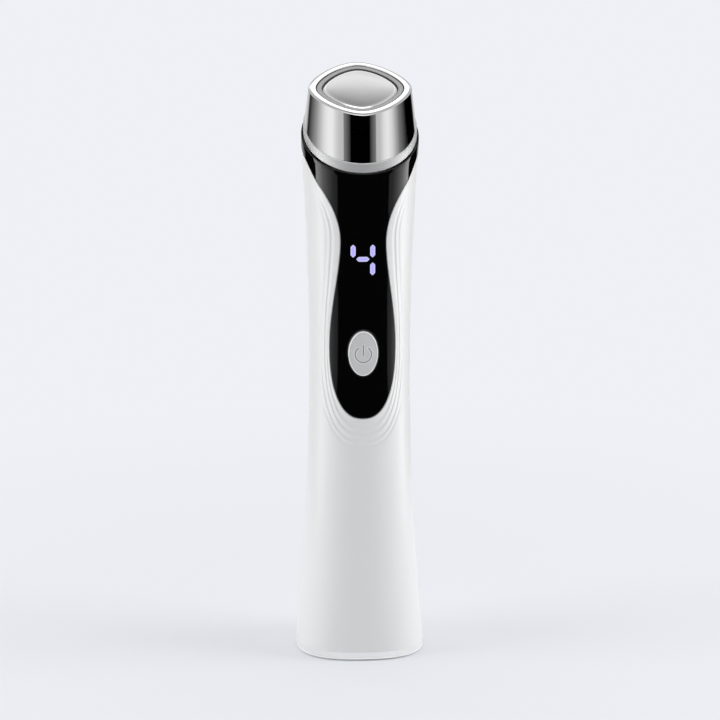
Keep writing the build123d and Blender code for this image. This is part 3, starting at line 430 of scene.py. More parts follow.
def slot_outline(width: float, tall: float, centre: float, steps: int = 8, spans: int = 6) -> list[Flat]:
    """Closed outline of a slot with half-round ends, anticlockwise.

    Args:
        width: Whole width.
        tall: Whole height.
        centre: Height of its middle.
        steps: Spans of each round end.
        spans: Spans of each straight side.

    Returns:
        Sideways places and heights.
    """
    ends = [
        arc(tall / 2, start, start + math.pi, steps, (side * (width - tall) / 2, centre))
        for side, start in ((1, -math.pi / 2), (-1, math.pi / 2))
    ]
    return divided(ends[0] + ends[1], [1] * steps + [spans])


@dataclass
class FlatMesh:
    """Vertices, each a turn, an inset and a height, and the faces between them."""

    vertices: list[Point] = field(default_factory=list)
    faces: list[tuple[int, ...]] = field(default_factory=list)
    marks: dict[int, float] = field(default_factory=dict)

    def strip(
        self, first: Sequence[Point], second: Sequence[Point], closed: bool = False, marks: Flat = (0.0, 0.0)
    ) -> None:
        """Joins two rows of as many points with four-sided faces.

        Args:
            first: One row.
            second: The other row.
            closed: Whether the last points join the first ones.
            marks: Mark of each row: 1 for a painted highlight, -1 for painted shade.
        """
        base, count = len(self.vertices), len(first)
        self.vertices += [*first, *second]
        self.marks |= {base + row * count + step: mark for row, mark in enumerate(marks) for step in range(count)}
        for step in range(count if closed else count - 1):
            after = (step + 1) % count
            self.faces.append((base + step, base + after, base + count + after, base + count + step))

    def strips(
        self, rows: Sequence[Sequence[Point]], closed: bool = False, mark: Callable[[Point], float] | None = None
    ) -> None:
        """Joins each row with the next one.

        Args:
            rows: The rows.
            closed: Whether the last points join the first ones.
            mark: Gives the mark of a point, or none to leave them unmarked.
        """
        base = len(self.vertices)
        for first, second in zip(rows, rows[1:]):
            self.strip(first, second, closed)
        if mark:
            self.marks |= {base + step: mark(point) for step, point in enumerate(self.vertices[base:])}

    def sheet(
        self,
        loops: Sequence[Sequence[Flat]],
        scattered: Sequence[Flat],
        place: Callable[[float, float], Point],
        lines: Sequence[Sequence[Flat]] = (),
        clearance: float = 0.5,
        scale: float = SKIN_RADIUS,
        mark: float = 0.0,
    ) -> None:
        """Fills closed loops with triangles through scattered points.

        Args:
            loops: Closed lines, the first ones round the others.
            scattered: Free points, of which those near a line are dropped.
            place: Gives the turn, inset and height of a point of the plane.
            lines: Open lines that edges follow.
            clearance: Least distance from a scattered point to a line's points.
            scale: Millimetres for a unit of the first coordinate.
            mark: Mark of every point: 1 for a painted highlight, -1 for painted shade.
        """
        corners: list[Flat] = []
        edges: list[tuple[int, int]] = []
        for loop in loops:
            base, count = len(corners), len(loop)
            corners += [(u * scale, v) for u, v in loop]
            edges += [(base + step, base + (step + 1) % count) for step in range(count)]
        ring_corners, ring_edges = np.array(corners), np.array(edges)
        for line in lines:
            base = len(corners)
            corners += [(u * scale, v) for u, v in line]
            edges += [(base + step, base + step + 1) for step in range(len(line) - 1)]
        fixed = np.array(corners)
        free = np.array([(u * scale, v) for u, v in scattered]).reshape(-1, 2)
        if len(free):
            near = np.array([np.min(np.sum((fixed - p) ** 2, axis=1)) for p in free])
            free = free[near > clearance ** 2]
            free = free[self.inside(free, ring_corners, ring_edges)]
        found = delaunay_2d_cdt([Vector(p) for p in (*fixed, *free)], edges, [], 0, 1e-7, False)
        flat, triangles = np.array([tuple(p) for p in found[0]]), np.array(found[2])
        kept = triangles[self.inside(flat[triangles].mean(axis=1), ring_corners, ring_edges)]
        base = len(self.vertices)
        self.vertices += [place(u / scale, v) for u, v in flat]
        self.marks |= {base + step: mark for step in range(len(flat))}
        self.faces += [tuple(int(corner) + base for corner in triangle) for triangle in kept]

    @staticmethod
    def inside(points: np.ndarray, corners: np.ndarray, edges: np.ndarray) -> np.ndarray:
        """Tells which points lie inside closed loops, by counting crossings.

        Args:
            points: The points.
            corners: Points of the loops.
            edges: Pairs of corners.

        Returns:
            True for each point inside.
        """
        start, end = corners[edges[:, 0]], corners[edges[:, 1]]
        result = np.zeros(len(points), bool)
        for place, (u, v) in enumerate(points):
            crosses = (start[:, 1] > v) != (end[:, 1] > v)
            s, e = start[crosses], end[crosses]
            at = s[:, 0] + (v - s[:, 1]) * (e[:, 0] - s[:, 0]) / (e[:, 1] - s[:, 1])
            result[place] = np.count_nonzero(at > u) % 2 == 1
        return result


# Node trees

class Wiring:
    """Adds nodes to one tree and joins them."""

    def __init__(self, tree: bpy.types.NodeTree) -> None:
        """Keeps the tree."""
        self.tree = tree

    def feed(self, socket: bpy.types.NodeSocket, value: object) -> None:
        """Links a socket to another one, or sets its value.

        Args:
            socket: Input to feed.
            value: Output of another node, or a plain value.
        """
        if isinstance(value, bpy.types.NodeSocket):
            self.tree.links.new(value, socket)
        else:
            socket.default_value = value

    def node(
        self, kind: str, fed: Sequence[object] | dict[object, object] = (), **settings: object
    ) -> bpy.types.Node:
        """Adds a node.

        Args:
            kind: Its type.
            fed: What its inputs take, in order, or by name or number.
            settings: Its properties.

        Returns:
            The node.
        """
        made = self.tree.nodes.new(kind)
        for name, value in settings.items():
            setattr(made, name, value)
        for place, value in fed.items() if isinstance(fed, dict) else enumerate(fed):
            self.feed(made.inputs[place], value)
        return made

    def maths(self, operation: str, *values: object, clamp: bool = False) -> bpy.types.NodeSocket:
        """Adds a Math node and gives its result."""
        return self.node("ShaderNodeMath", values, operation=operation, use_clamp=clamp).outputs[0]

    def spread(self, *values: object, kind: str = "LINEAR") -> bpy.types.NodeSocket:
        """Maps a value, given with the ends of its old range and of its new one."""
        return self.node("ShaderNodeMapRange", values, interpolation_type=kind).outputs[0]

    def ease(self, *values: object) -> bpy.types.NodeSocket:
        """Maps a value as spread does, but smoothly at both ends."""
        return self.spread(*values, kind="SMOOTHSTEP")

    def mix(self, share: object, first: object, second: object) -> bpy.types.NodeSocket:
        """Mixes two colours."""
        colours = [(*colour, 1.0) if isinstance(colour, tuple) else colour for colour in (first, second)]
        return self.node("ShaderNodeMix", dict(zip((0, 6, 7), (share, *colours))), data_type="RGBA").outputs[2]

    def noise(
        self, vector: object, scale: float, detail: float = 3.0, roughness: float = 0.5
    ) -> bpy.types.NodeSocket:
        """Adds a noise texture and gives its grey value."""
        fed = {"Vector": vector, "Scale": scale, "Detail": detail, "Roughness": roughness}
        return self.node("ShaderNodeTexNoise", fed).outputs["Fac"]

    def vector(self, *parts: object) -> bpy.types.NodeSocket:
        """Joins three numbers into a vector."""
        return self.node("ShaderNodeCombineXYZ", parts).outputs[0]

    def grey(self, value: object) -> bpy.types.NodeSocket:
        """Grey colour of a number."""
        return self.node("ShaderNodeCombineColor", (value, value, value)).outputs[0]

    def kept(self, name: str) -> bpy.types.NodeSocket:
        """Reads a number kept on each point."""
        return self.node("GeometryNodeInputNamedAttribute", {"Name": name}, data_type="FLOAT").outputs[0]


def new_tree(
    name: str, kind: str, inputs: dict[str, str | float], outputs: dict[str, str | float]
) -> bpy.types.NodeTree:
    """Makes an empty node group with its sockets.

    Args:
        name: Its name.
        kind: Its type.
        inputs: Kind of each input, or the value of a number.
        outputs: The same for each output.

    Returns:
        The group.
    """
    tree = bpy.data.node_groups.new(name, kind)
    for way, sockets in (("INPUT", inputs), ("OUTPUT", outputs)):
        for label, given in sockets.items():
            word = given if isinstance(given, str) else "Float"
            made = tree.interface.new_socket(label, in_out=way, socket_type=f"NodeSocket{word}")
            if word == "Float":
                made.default_value = given
    return tree


class WrapTree:
    """Geometry Nodes tree that bends a flat mesh round the body and cuts the ripples in it."""

    SIZES = {
        "Foot Radius": PROFILE.foot_radius, "Waist Radius": PROFILE.waist_radius,
        "Neck Radius": PROFILE.neck_radius, "Waist Height": PROFILE.waist_height,
        "Neck Height": PROFILE.neck_height, "Foot Squareness": PROFILE.foot_squareness,
        "Ripple Depth": 0.0, "Ripple Steepness": 3.4, "Ripple Gain": 9.5,
    }

    def __init__(self) -> None:
        """Builds the tree with its named inputs."""
        inputs = {"Geometry": "Geometry", **self.SIZES, "Finish": "Material"}
        self.tree = new_tree("wrap_on_body", "GeometryNodeTree", inputs, {"Geometry": "Geometry"})
        self.wire(Wiring(self.tree))

    @staticmethod
    def wire(wires: Wiring) -> None:
        """Joins the nodes that work out the wrapped place of each point.

        Args:
            wires: The tree to fill.
        """
        maths, given = wires.maths, wires.node("NodeGroupInput").outputs
        spot = wires.node("GeometryNodeInputPosition").outputs[0]
        turn, inset, height = wires.node("ShaderNodeSeparateXYZ", [spot]).outputs
        waist, level = given["Waist Radius"], given["Waist Height"]
        low = maths("DIVIDE", maths("SUBTRACT", level, height), level, clamp=True)
        neck_span = maths("SUBTRACT", given["Neck Height"], level)
        high = maths("DIVIDE", maths("SUBTRACT", height, level), neck_span, clamp=True)
        radius = waist
        for end, share in (("Foot Radius", low), ("Neck Radius", high)):
            wider = maths("SUBTRACT", given[end], waist)
            radius = maths("MULTIPLY_ADD", wider, maths("MULTIPLY", share, share), radius)
        square = maths("SUBTRACT", given["Foot Squareness"], PROFILE.circle)
        power = maths("MULTIPLY_ADD", square, low, PROFILE.circle)
        sides = [maths("SINE", turn), maths("COSINE", turn)]
        shares = [maths("POWER", maths("ABSOLUTE", side), power) for side in sides]
        spread = maths("POWER", maths("ADD", *shares), maths("DIVIDE", 1.0, power))
        fluted = maths("FRACT", wires.kept("ripple"))
        flute = maths("MULTIPLY", maths("POWER", fluted, given["Ripple Steepness"]), maths("SUBTRACT", 1.0, fluted))
        flute = maths("MULTIPLY", flute, given["Ripple Gain"])
        dent = maths("MULTIPLY_ADD", flute, wires.kept("fade"), wires.kept("lip"))
        depth = maths("MULTIPLY_ADD", dent, given["Ripple Depth"], inset)
        reach = maths("MULTIPLY", maths("DIVIDE", maths("SUBTRACT", radius, depth), spread), MM)
        across, ahead = [maths("MULTIPLY", reach, side) for side in sides]
        place = wires.vector(across, maths("MULTIPLY", ahead, -1.0), maths("MULTIPLY", height, MM))
        moved = wires.node("GeometryNodeSetPosition", {"Geometry": given["Geometry"], "Position": place})
        close_tree(wires, moved.outputs[0], given["Finish"])


class RepeatTree:
    """Geometry Nodes tree that stands one small piece on each of a set of points."""

    def __init__(self) -> None:
        """Builds the tree with its named inputs."""
        inputs = {"Geometry": "Geometry", "Piece": "Object", "Size": 1.0, "Finish": "Material"}
        self.tree = new_tree("repeat_on_points", "GeometryNodeTree", inputs, {"Geometry": "Geometry"})
        wires = Wiring(self.tree)
        given = wires.node("NodeGroupInput").outputs
        stood = wires.node("GeometryNodeInstanceOnPoints", {
            "Points": given["Geometry"], "Scale": wires.vector(*[given["Size"]] * 3),
            "Instance": wires.node("GeometryNodeObjectInfo", {"Object": given["Piece"]}).outputs["Geometry"],
            "Rotation": wires.vector(0.0, wires.kept("turned"), 0.0),
        })
        close_tree(wires, stood.outputs[0], given["Finish"])


def close_tree(wires: Wiring, shape: bpy.types.NodeSocket, finish: bpy.types.NodeSocket) -> None:
    """Ends a tree in Realize Instances and Set Material.

    Args:
        wires: The tree.
        shape: Output that gives the shape.
        finish: Output that gives the material.
    """
    real = wires.node("GeometryNodeRealizeInstances", [shape]).outputs[0]
    dressed = wires.node("GeometryNodeSetMaterial", {"Geometry": real, "Material": finish})
    wires.node("NodeGroupOutput", [dressed.outputs[0]])


def in_scene(name: str, data: bpy.types.ID) -> bpy.types.Object:
    """Makes an object of a mesh, lamp or camera in the scene.

    Args:
        name: Its name.
        data: What it shows.

    Returns:
        The object.
    """
    made = bpy.data.objects.new(name, data)
    bpy.context.scene.collection.objects.link(made)
    return made


def grown_mesh(
    name: str, mesh: bpy.types.Mesh, tree: bpy.types.NodeTree, inputs: dict[str, object]
) -> bpy.types.Mesh:
    """Runs a node tree on a mesh and gives the plain result.

    Args:
        name: Name of the result.
        mesh: Mesh to start from.
        tree: The node tree.
        inputs: Its inputs by name.

    Returns:
        A mesh with no modifier behind it.
    """
    holder = in_scene(name, mesh)
    modifier = holder.modifiers.new(tree.name, "NODES")
    modifier.node_group = tree
    for item in tree.interface.items_tree:
        if item.in_out == "INPUT" and item.name in inputs:
            modifier[item.identifier] = inputs[item.name]
    bpy.context.view_layer.update()
    depsgraph = bpy.context.evaluated_depsgraph_get()
    result = bpy.data.meshes.new_from_object(holder.evaluated_get(depsgraph), depsgraph=depsgraph)
    holder.modifiers.remove(modifier)
    bpy.data.objects.remove(holder)
    result.name = name
    return result


def finish_mesh(mesh: bpy.types.Mesh, sharp: float) -> None:
    """Merges doubled points, turns the faces outwards and shades them smoothly.

    Args:
        mesh: Mesh to clean, in metres.
        sharp: Angle in degrees past which an edge stays sharp.
    """
    work = bmesh.new()
    work.from_mesh(mesh)
    bmesh.ops.remove_doubles(work, verts=work.verts, dist=WELD)
    bmesh.ops.dissolve_degenerate(work, edges=work.edges, dist=WELD / 4)
    bmesh.ops.recalc_face_normals(work, faces=work.faces)
    open_edges = sum(1 for edge in work.edges if not edge.is_manifold)
    if open_edges:
        LOG.warning("%s has %d open edges", mesh.name, open_edges)
    work.to_mesh(mesh)
    work.free()
    mesh.shade_smooth()
    mesh.set_sharp_from_angle(angle=math.radians(sharp))


def placed(mesh: bpy.types.Mesh, name: str, slot: str, *nodes: str, body: str = MAIN_BODY) -> None:
    """Puts a finished mesh in the scene as a piece of the wand.

    Args:
        mesh: Finished mesh, in metres.
        name: Name of the piece.
        slot: Name of a material slot; not used.
        nodes: Construction nodes that it stands for.
        body: Body that it moves with.
    """
    piece = in_scene(name, mesh)
    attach(piece, body)
    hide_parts(*nodes)
    LOG.info("%s: %d faces on %s", name, len(mesh.polygons), body)


def plain_mesh(name: str, vertices: Sequence[Sequence[float]], faces: Sequence[Sequence[int]]) -> bpy.types.Mesh:
    """Makes a mesh of points and faces.

    Args:
        name: Its name.
        vertices: Its points.
        faces: Its faces.

    Returns:
        The mesh.
    """
    mesh = bpy.data.meshes.new(name)
    mesh.from_pydata(vertices, [], faces)
    return mesh


def keep(mesh: bpy.types.Mesh, name: str, values: Sequence[float]) -> None:
    """Keeps a number on each point of a mesh."""
    mesh.attributes.new(name, "FLOAT", "POINT").data.foreach_set("value", values)


def ring_mesh(
    name: str, rows: Sequence[Sequence[Vector]], poles: Sequence[Vector] = (), scale: float = MM
) -> bpy.types.Mesh:
    """Closed mesh through rings.

    Args:
        name: Its name.
        rows: The rings in order.
        poles: Points that close the last and the first ring, or none to join the two.
        scale: Unit of the mesh for a unit of the points.

    Returns:
        The mesh.
    """
    count, rings = len(rows[0]), len(rows)
    steps = [(step, (step + 1) % count) for step in range(count)]
    faces = []
    for row in range(rings - bool(poles)):
        first, second = row * count, (row + 1) % rings * count
        faces += [(first + step, first + after, second + after, second + step) for step, after in steps]
    if poles:
        last, tip = (rings - 1) * count, rings * count
        for step, after in steps:
            faces += [(last + step, last + after, tip), (after, step, tip + 1)]
    return plain_mesh(name, [point * scale for row in (*rows, poles) for point in row], faces)


# Finishes

class Grain(Enum):
    """Kinds of surface that a finish can have."""

    MOULDED = "moulded"
    POLISHED = "polished"
    BRUSHED = "brushed"
    CELLS = "cells"
    TRACES = "traces"
    WOUND = "wound"


@dataclass(frozen=True)
class Finish:
    """Look of one material: its two mottled colours, its gloss, its surface, the colours of the painted highlight and
    painted shade that its marks blend in, and what glows on it.
    """

    name: str
    colour: Paint
    shade: Paint
    roughness: Flat
    grain: Grain = Grain.MOULDED
    size: float = 1.5
    bump: float = 0.002
    metallic: float = 0.0
    specular: float = 0.5
    glow: float = 0.0
    glow_core: Paint = ""
    glow_edge: Paint = ""
    # Colours that the marks blend in: a painted highlight for positive marks, painted shade for negative ones.
    trim: Paint = ""
    painted_shade: Paint = ""


class FinishBook:
    """Makes each finish's material once, from shared node groups."""

    def __init__(self) -> None:
        """Starts with no groups and no materials."""
        self.groups: dict[Grain, bpy.types.NodeTree] = {}
        self.made: dict[str, bpy.types.Material] = {}

    def group(self, grain: Grain) -> bpy.types.NodeTree:
        """Node group of one kind of surface, with a mask, a roughness mask and a height.

        Args:
            grain: Kind of surface.

        Returns:
            The group, built at its first use.
        """
        if grain not in self.groups:
            outputs = dict.fromkeys(("Mottle", "Rub", "Height"), 0.0)
            self.groups[grain] = new_tree(f"surface_{grain.value}", "ShaderNodeTree", {"Size": 1.5}, outputs)
            wires = Wiring(self.groups[grain])
            scale = wires.maths("DIVIDE", 1.0 / MM, wires.node("NodeGroupInput").outputs["Size"])
            spot = wires.node("ShaderNodeTexCoord").outputs["Object"]
            vector = wires.node("ShaderNodeVectorMath", {0: spot, "Scale": scale}, operation="SCALE").outputs[0]
            height = self.height(wires, vector, grain)
            mottle = height if grain in (Grain.TRACES, Grain.WOUND) else wires.noise(vector, 0.25, 4.0)
            wires.node("NodeGroupOutput", (mottle, wires.noise(vector, 0.9, 5.0, 0.6), height))
        return self.groups[grain]

    @staticmethod
    def height(wires: Wiring, vector: bpy.types.NodeSocket, grain: Grain) -> bpy.types.NodeSocket:
        """Relief of a kind of surface, from 0 to 1.

        Args:
            wires: Group to add to.
            vector: Place on the piece.
            grain: Kind of surface.

        Returns:
            The relief.
        """
        fed = {"Vector": vector}
        if grain is Grain.CELLS:
            return wires.node("ShaderNodeTexVoronoi", fed | {"Scale": 2.0}, feature="SMOOTH_F1").outputs["Distance"]
        if grain is Grain.BRUSHED:
            drawn = wires.node("ShaderNodeMapping", fed | {"Scale": (1.0, 1.0, 14.0)})
            return wires.noise(drawn.outputs[0], 2.0, 4.0, 0.7)
        if grain is Grain.TRACES:
            turned = wires.node("ShaderNodeMapping", fed | {"Rotation": (math.pi / 2, 0.0, 0.0)})
            fed = {"Vector": turned.outputs[0], "Scale": 0.5, "Mortar Size": 0.06, "Mortar Smooth": 0.2}
            return wires.node("ShaderNodeTexBrick", fed, offset=0.5, squash=1.4, squash_frequency=3).outputs["Fac"]
        if grain is Grain.WOUND:
            fed |= {"Scale": 1.2, "Distortion": 0.6}
            return wires.node("ShaderNodeTexWave", fed, wave_type="BANDS", bands_direction="Y").outputs["Fac"]
        return wires.noise(vector, *((0.5, 2.0, 0.4) if grain is Grain.POLISHED else (3.0, 4.0, 0.55)))

    def material(self, finish: Finish) -> bpy.types.Material:
        """Material of a finish.

        Args:
            finish: What it looks like.

        Returns:
            The material, made at its first use.
        """
        if finish.name in self.made:
            return self.made[finish.name]
        made = self.made[finish.name] = bpy.data.materials.new(finish.name)
        made.use_nodes = True
        wires = Wiring(made.node_tree)
        surface = wires.node("ShaderNodeGroup", {"Size": finish.size}, node_tree=self.group(finish.grain))
        mottle, rub, height = surface.outputs
        colour = wires.mix(mottle, linear(finish.colour), linear(finish.shade))
        # Painted light: a positive mark blends towards the painted highlight colour, a negative one towards the
        # painted shade colour.
        for way, paint in ((1.0, finish.trim), (-1.0, finish.painted_shade)):
            if paint:
                mark = wires.node("ShaderNodeAttribute", attribute_name="trim").outputs["Fac"]
                colour = wires.mix(wires.maths("MULTIPLY", mark, way), colour, linear(paint))
        bump = wires.node("ShaderNodeBump", {"Distance": finish.bump * MM, "Height": height})
        fed = {
            "Base Color": colour, "Roughness": wires.spread(rub, 0.3, 0.7, *finish.roughness),
            "Metallic": finish.metallic, "Specular IOR Level": finish.specular, "Normal": bump.outputs[0],
        }
        if finish.glow:
            edge = wires.node("ShaderNodeAttribute", attribute_name="edge").outputs["Fac"]
            fed["Emission Color"] = wires.mix(edge, linear(finish.glow_core), linear(finish.glow_edge))
            fed["Emission Strength"] = finish.glow
        for name, value in fed.items():
            wires.feed(made.node_tree.nodes["Principled BSDF"].inputs[name], value)
        return made


# The white's pale colour is painted highlight on the rounded edge round the panel and on the foot's bevel.
WHITE_GLOSS = Finish(
    "white_gloss", "e9e9e8", "e6e6e5", (0.288, 0.3), size=6.0, bump=0.0002, specular=0.4, trim="ffffff"
)
BLACK_GLOSS = Finish(
    "black_gloss", (0.0012, 0.0012, 0.0014), (0.002, 0.002, 0.0023), (0.035, 0.06), Grain.POLISHED, 9.0, 0.0002
)
# The mirror's darker colour is painted shade on the rim's top bevel: a darker reflection painted in.
MIRROR = Finish(
    "mirror_chrome", (0.93, 0.93, 0.935), (0.9, 0.9, 0.905), (0.025, 0.05), Grain.POLISHED, 8.0, 0.0002, 1.0,
    painted_shade="dcdcde",
)
# The ring's near-white colour is painted highlight along its lower outer edge.
SATIN_RING = Finish(
    "satin_ring", "dedede", "d6d6d6", (0.46, 0.5), Grain.BRUSHED, 0.6, 0.0003, 0.55, trim="fafafa"
)
# The plate's near-white colour is painted highlight on its bevel.
SATIN_PLATE = Finish(
    "satin_plate", "aeaeae", "a8a8a8", (0.09, 0.11), Grain.BRUSHED, 0.5, 0.0002, 1.0, trim="f6f6f6"
)
# The gasket's dark grey is painted shade along its edges and sides, in place of the shadowed gaps to the rim and the
# plate.
GASKET = Finish("gasket_grey", "b0b0b0", "adadad", (0.55, 0.6), size=1.0, bump=0.0002, painted_shade="4a4a4a")
# The button's near-white colour is painted highlight on its rounded edge and beside the symbol; its dark grey is
# painted shade in the symbol's groove.
BUTTON = Finish("button_grey", "d2d2d2", "cecece", (0.32, 0.38), size=0.8, bump=0.0004, trim="f8f8f8", painted_shade="969696")
LIT = Finish(
    "lit_bar", (0.012, 0.011, 0.02), (0.016, 0.015, 0.026), (0.12, 0.16), size=1.0, bump=0.0003,
    glow=1.0, glow_core="b8b4ff", glow_edge="dedaff",
)
UNLIT = replace(BLACK_GLOSS, name="unlit_bar")
RUBBER = Finish("foot_rubber", "b9b9b9", "a9a9a9", (0.7, 0.85), size=0.8, bump=0.01)
PLASTIC, SATIN = (0.4, 0.5), (0.3, 0.42)
NODE_FINISHES: tuple[tuple[Finish, str], ...] = (
    (WHITE_GLOSS, "body_shell"), (BLACK_GLOSS, "front_panel"), (BUTTON, "power_button"), (LIT, "lit_segments"),
    (UNLIT, "unlit_segments"), (SATIN_RING, "trim_ring"), (MIRROR, "head_shell"), (GASKET, "electrode_gasket"),
    (SATIN_PLATE, "centre_electrode"), (RUBBER, "foot_ring"),
    (
        Finish("screw_steel", (0.6, 0.6, 0.61), (0.5, 0.5, 0.51), (0.22, 0.34), Grain.BRUSHED, 0.4, 0.002, 1.0),
        "board_screws charge_screws head_screws terminal_screw base_screws",
    ),
    (Finish("board_green", "2f7a4a", "1f5d37", (0.25, 0.35), Grain.TRACES, 1.0, 0.02), "main_board charge_board"),
    (Finish("chip_black", "2a2a2b", "232324", (0.5, 0.6), size=0.5, bump=0.006), "control_chip charge_chip"),
    (Finish("seal_rubber", "3a3a3b", "303031", (0.6, 0.75), size=0.6, bump=0.006), "base_seal button_seal head_seal"),
    (Finish("socket_ivory", "e6dfc8", "dcd4ba", PLASTIC, size=1.0), "battery_socket"),
    (Finish("carrier_white", "e4e4e0", "dadad6", PLASTIC, size=1.4), "head_carrier"),
    (
        Finish("tab_nickel", (0.66, 0.63, 0.58), (0.56, 0.53, 0.49), (0.25, 0.35), Grain.BRUSHED, 0.5, 0.002, 1.0),
        "battery_tabs centre_terminal",
    ),
    (Finish("lead_red", "c4282a", "ab2022", SATIN, size=0.8), "positive_lead"),
    (Finish("lead_black", "2c2c2e", "222224", SATIN, size=0.8), "negative_lead"),
    (Finish("lead_blue", "2b53b5", "234698", SATIN, size=0.8), "rim_lead"),
    (Finish("lead_white", "e2e2e2", "d5d5d5", SATIN, size=0.8), "centre_lead"),
    (Finish("lead_yellow", "dcbc3a", "c8a82e", SATIN, size=0.8), "charge_leads"),
    (Finish("base_white", "e4e4e3", "dededd", (0.35, 0.45), size=1.2), "base_cap"),
    (Finish("box_white", "ececec", "e2e2e2", (0.55, 0.65), size=1.0), "light_box"),
    (Finish("light_resin", "f2e9b0", "e9dd98", (0.15, 0.22), size=0.4), "segment_lights"),
    (Finish("switch_black", "38383a", "2e2e30", PLASTIC, size=0.8), "switch_body"),
    (Finish("plunger_cream", "ddd5bd", "d2c9af", PLASTIC, size=0.6), "switch_plunger"),
    (Finish("coil_copper", "9a5a34", "5b341f", (0.35, 0.5), Grain.WOUND, 0.35, 0.03), "step_up_coil"),
    (Finish("transformer_tape", "d9b53c", "b9962b", SATIN, Grain.WOUND, 0.9, 0.02), "output_transformer"),
    (Finish("capacitor_tan", "b08d5e", "9c7a4d", SATIN, size=0.6), "storage_capacitors"),
    (Finish("frame_grey", "a9abae", "9fa1a5", (0.5, 0.62), size=1.4, bump=0.006), "inner_frame"),
    (Finish("cell_sleeve", "3b6fb5", "33629f", (0.22, 0.32), size=4.0), "battery_cell"),
    (Finish("pad_foam", "4a4a4d", "37373a", (0.85, 0.95), Grain.CELLS, 0.7, 0.08), "battery_pad"),
    (
        Finish("port_steel", (0.62, 0.62, 0.63), (0.54, 0.54, 0.55), (0.2, 0.3), Grain.BRUSHED, 0.5, 0.002, 1.0),
        "port_can",
    ),
    (Finish("tongue_black", "2c2c2d", "242425", SATIN, size=0.5), "port_tongue"),
    (Finish("strip_brass", "c9a560", "b08d4c", (0.22, 0.32), Grain.BRUSHED, 0.5, 0.002, 1.0), "rim_strip"),
)


@dataclass(frozen=True)
class InnerDress:
    """Finishes of the construction nodes, those under a finer skin included."""

    rows: tuple[tuple[Finish, str], ...] = NODE_FINISHES

    def dress(self, book: FinishBook) -> None:
        """Gives every construction node its finish.

        Args:
            book: Where the materials come from.
        """
        for finish, names in self.rows:
            for name in names.split():
                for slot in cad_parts[name].material_slots:
                    slot.material = book.material(finish)
                LOG.info("%s: dressed as %s", name, finish.name)


# Sub-assemblies

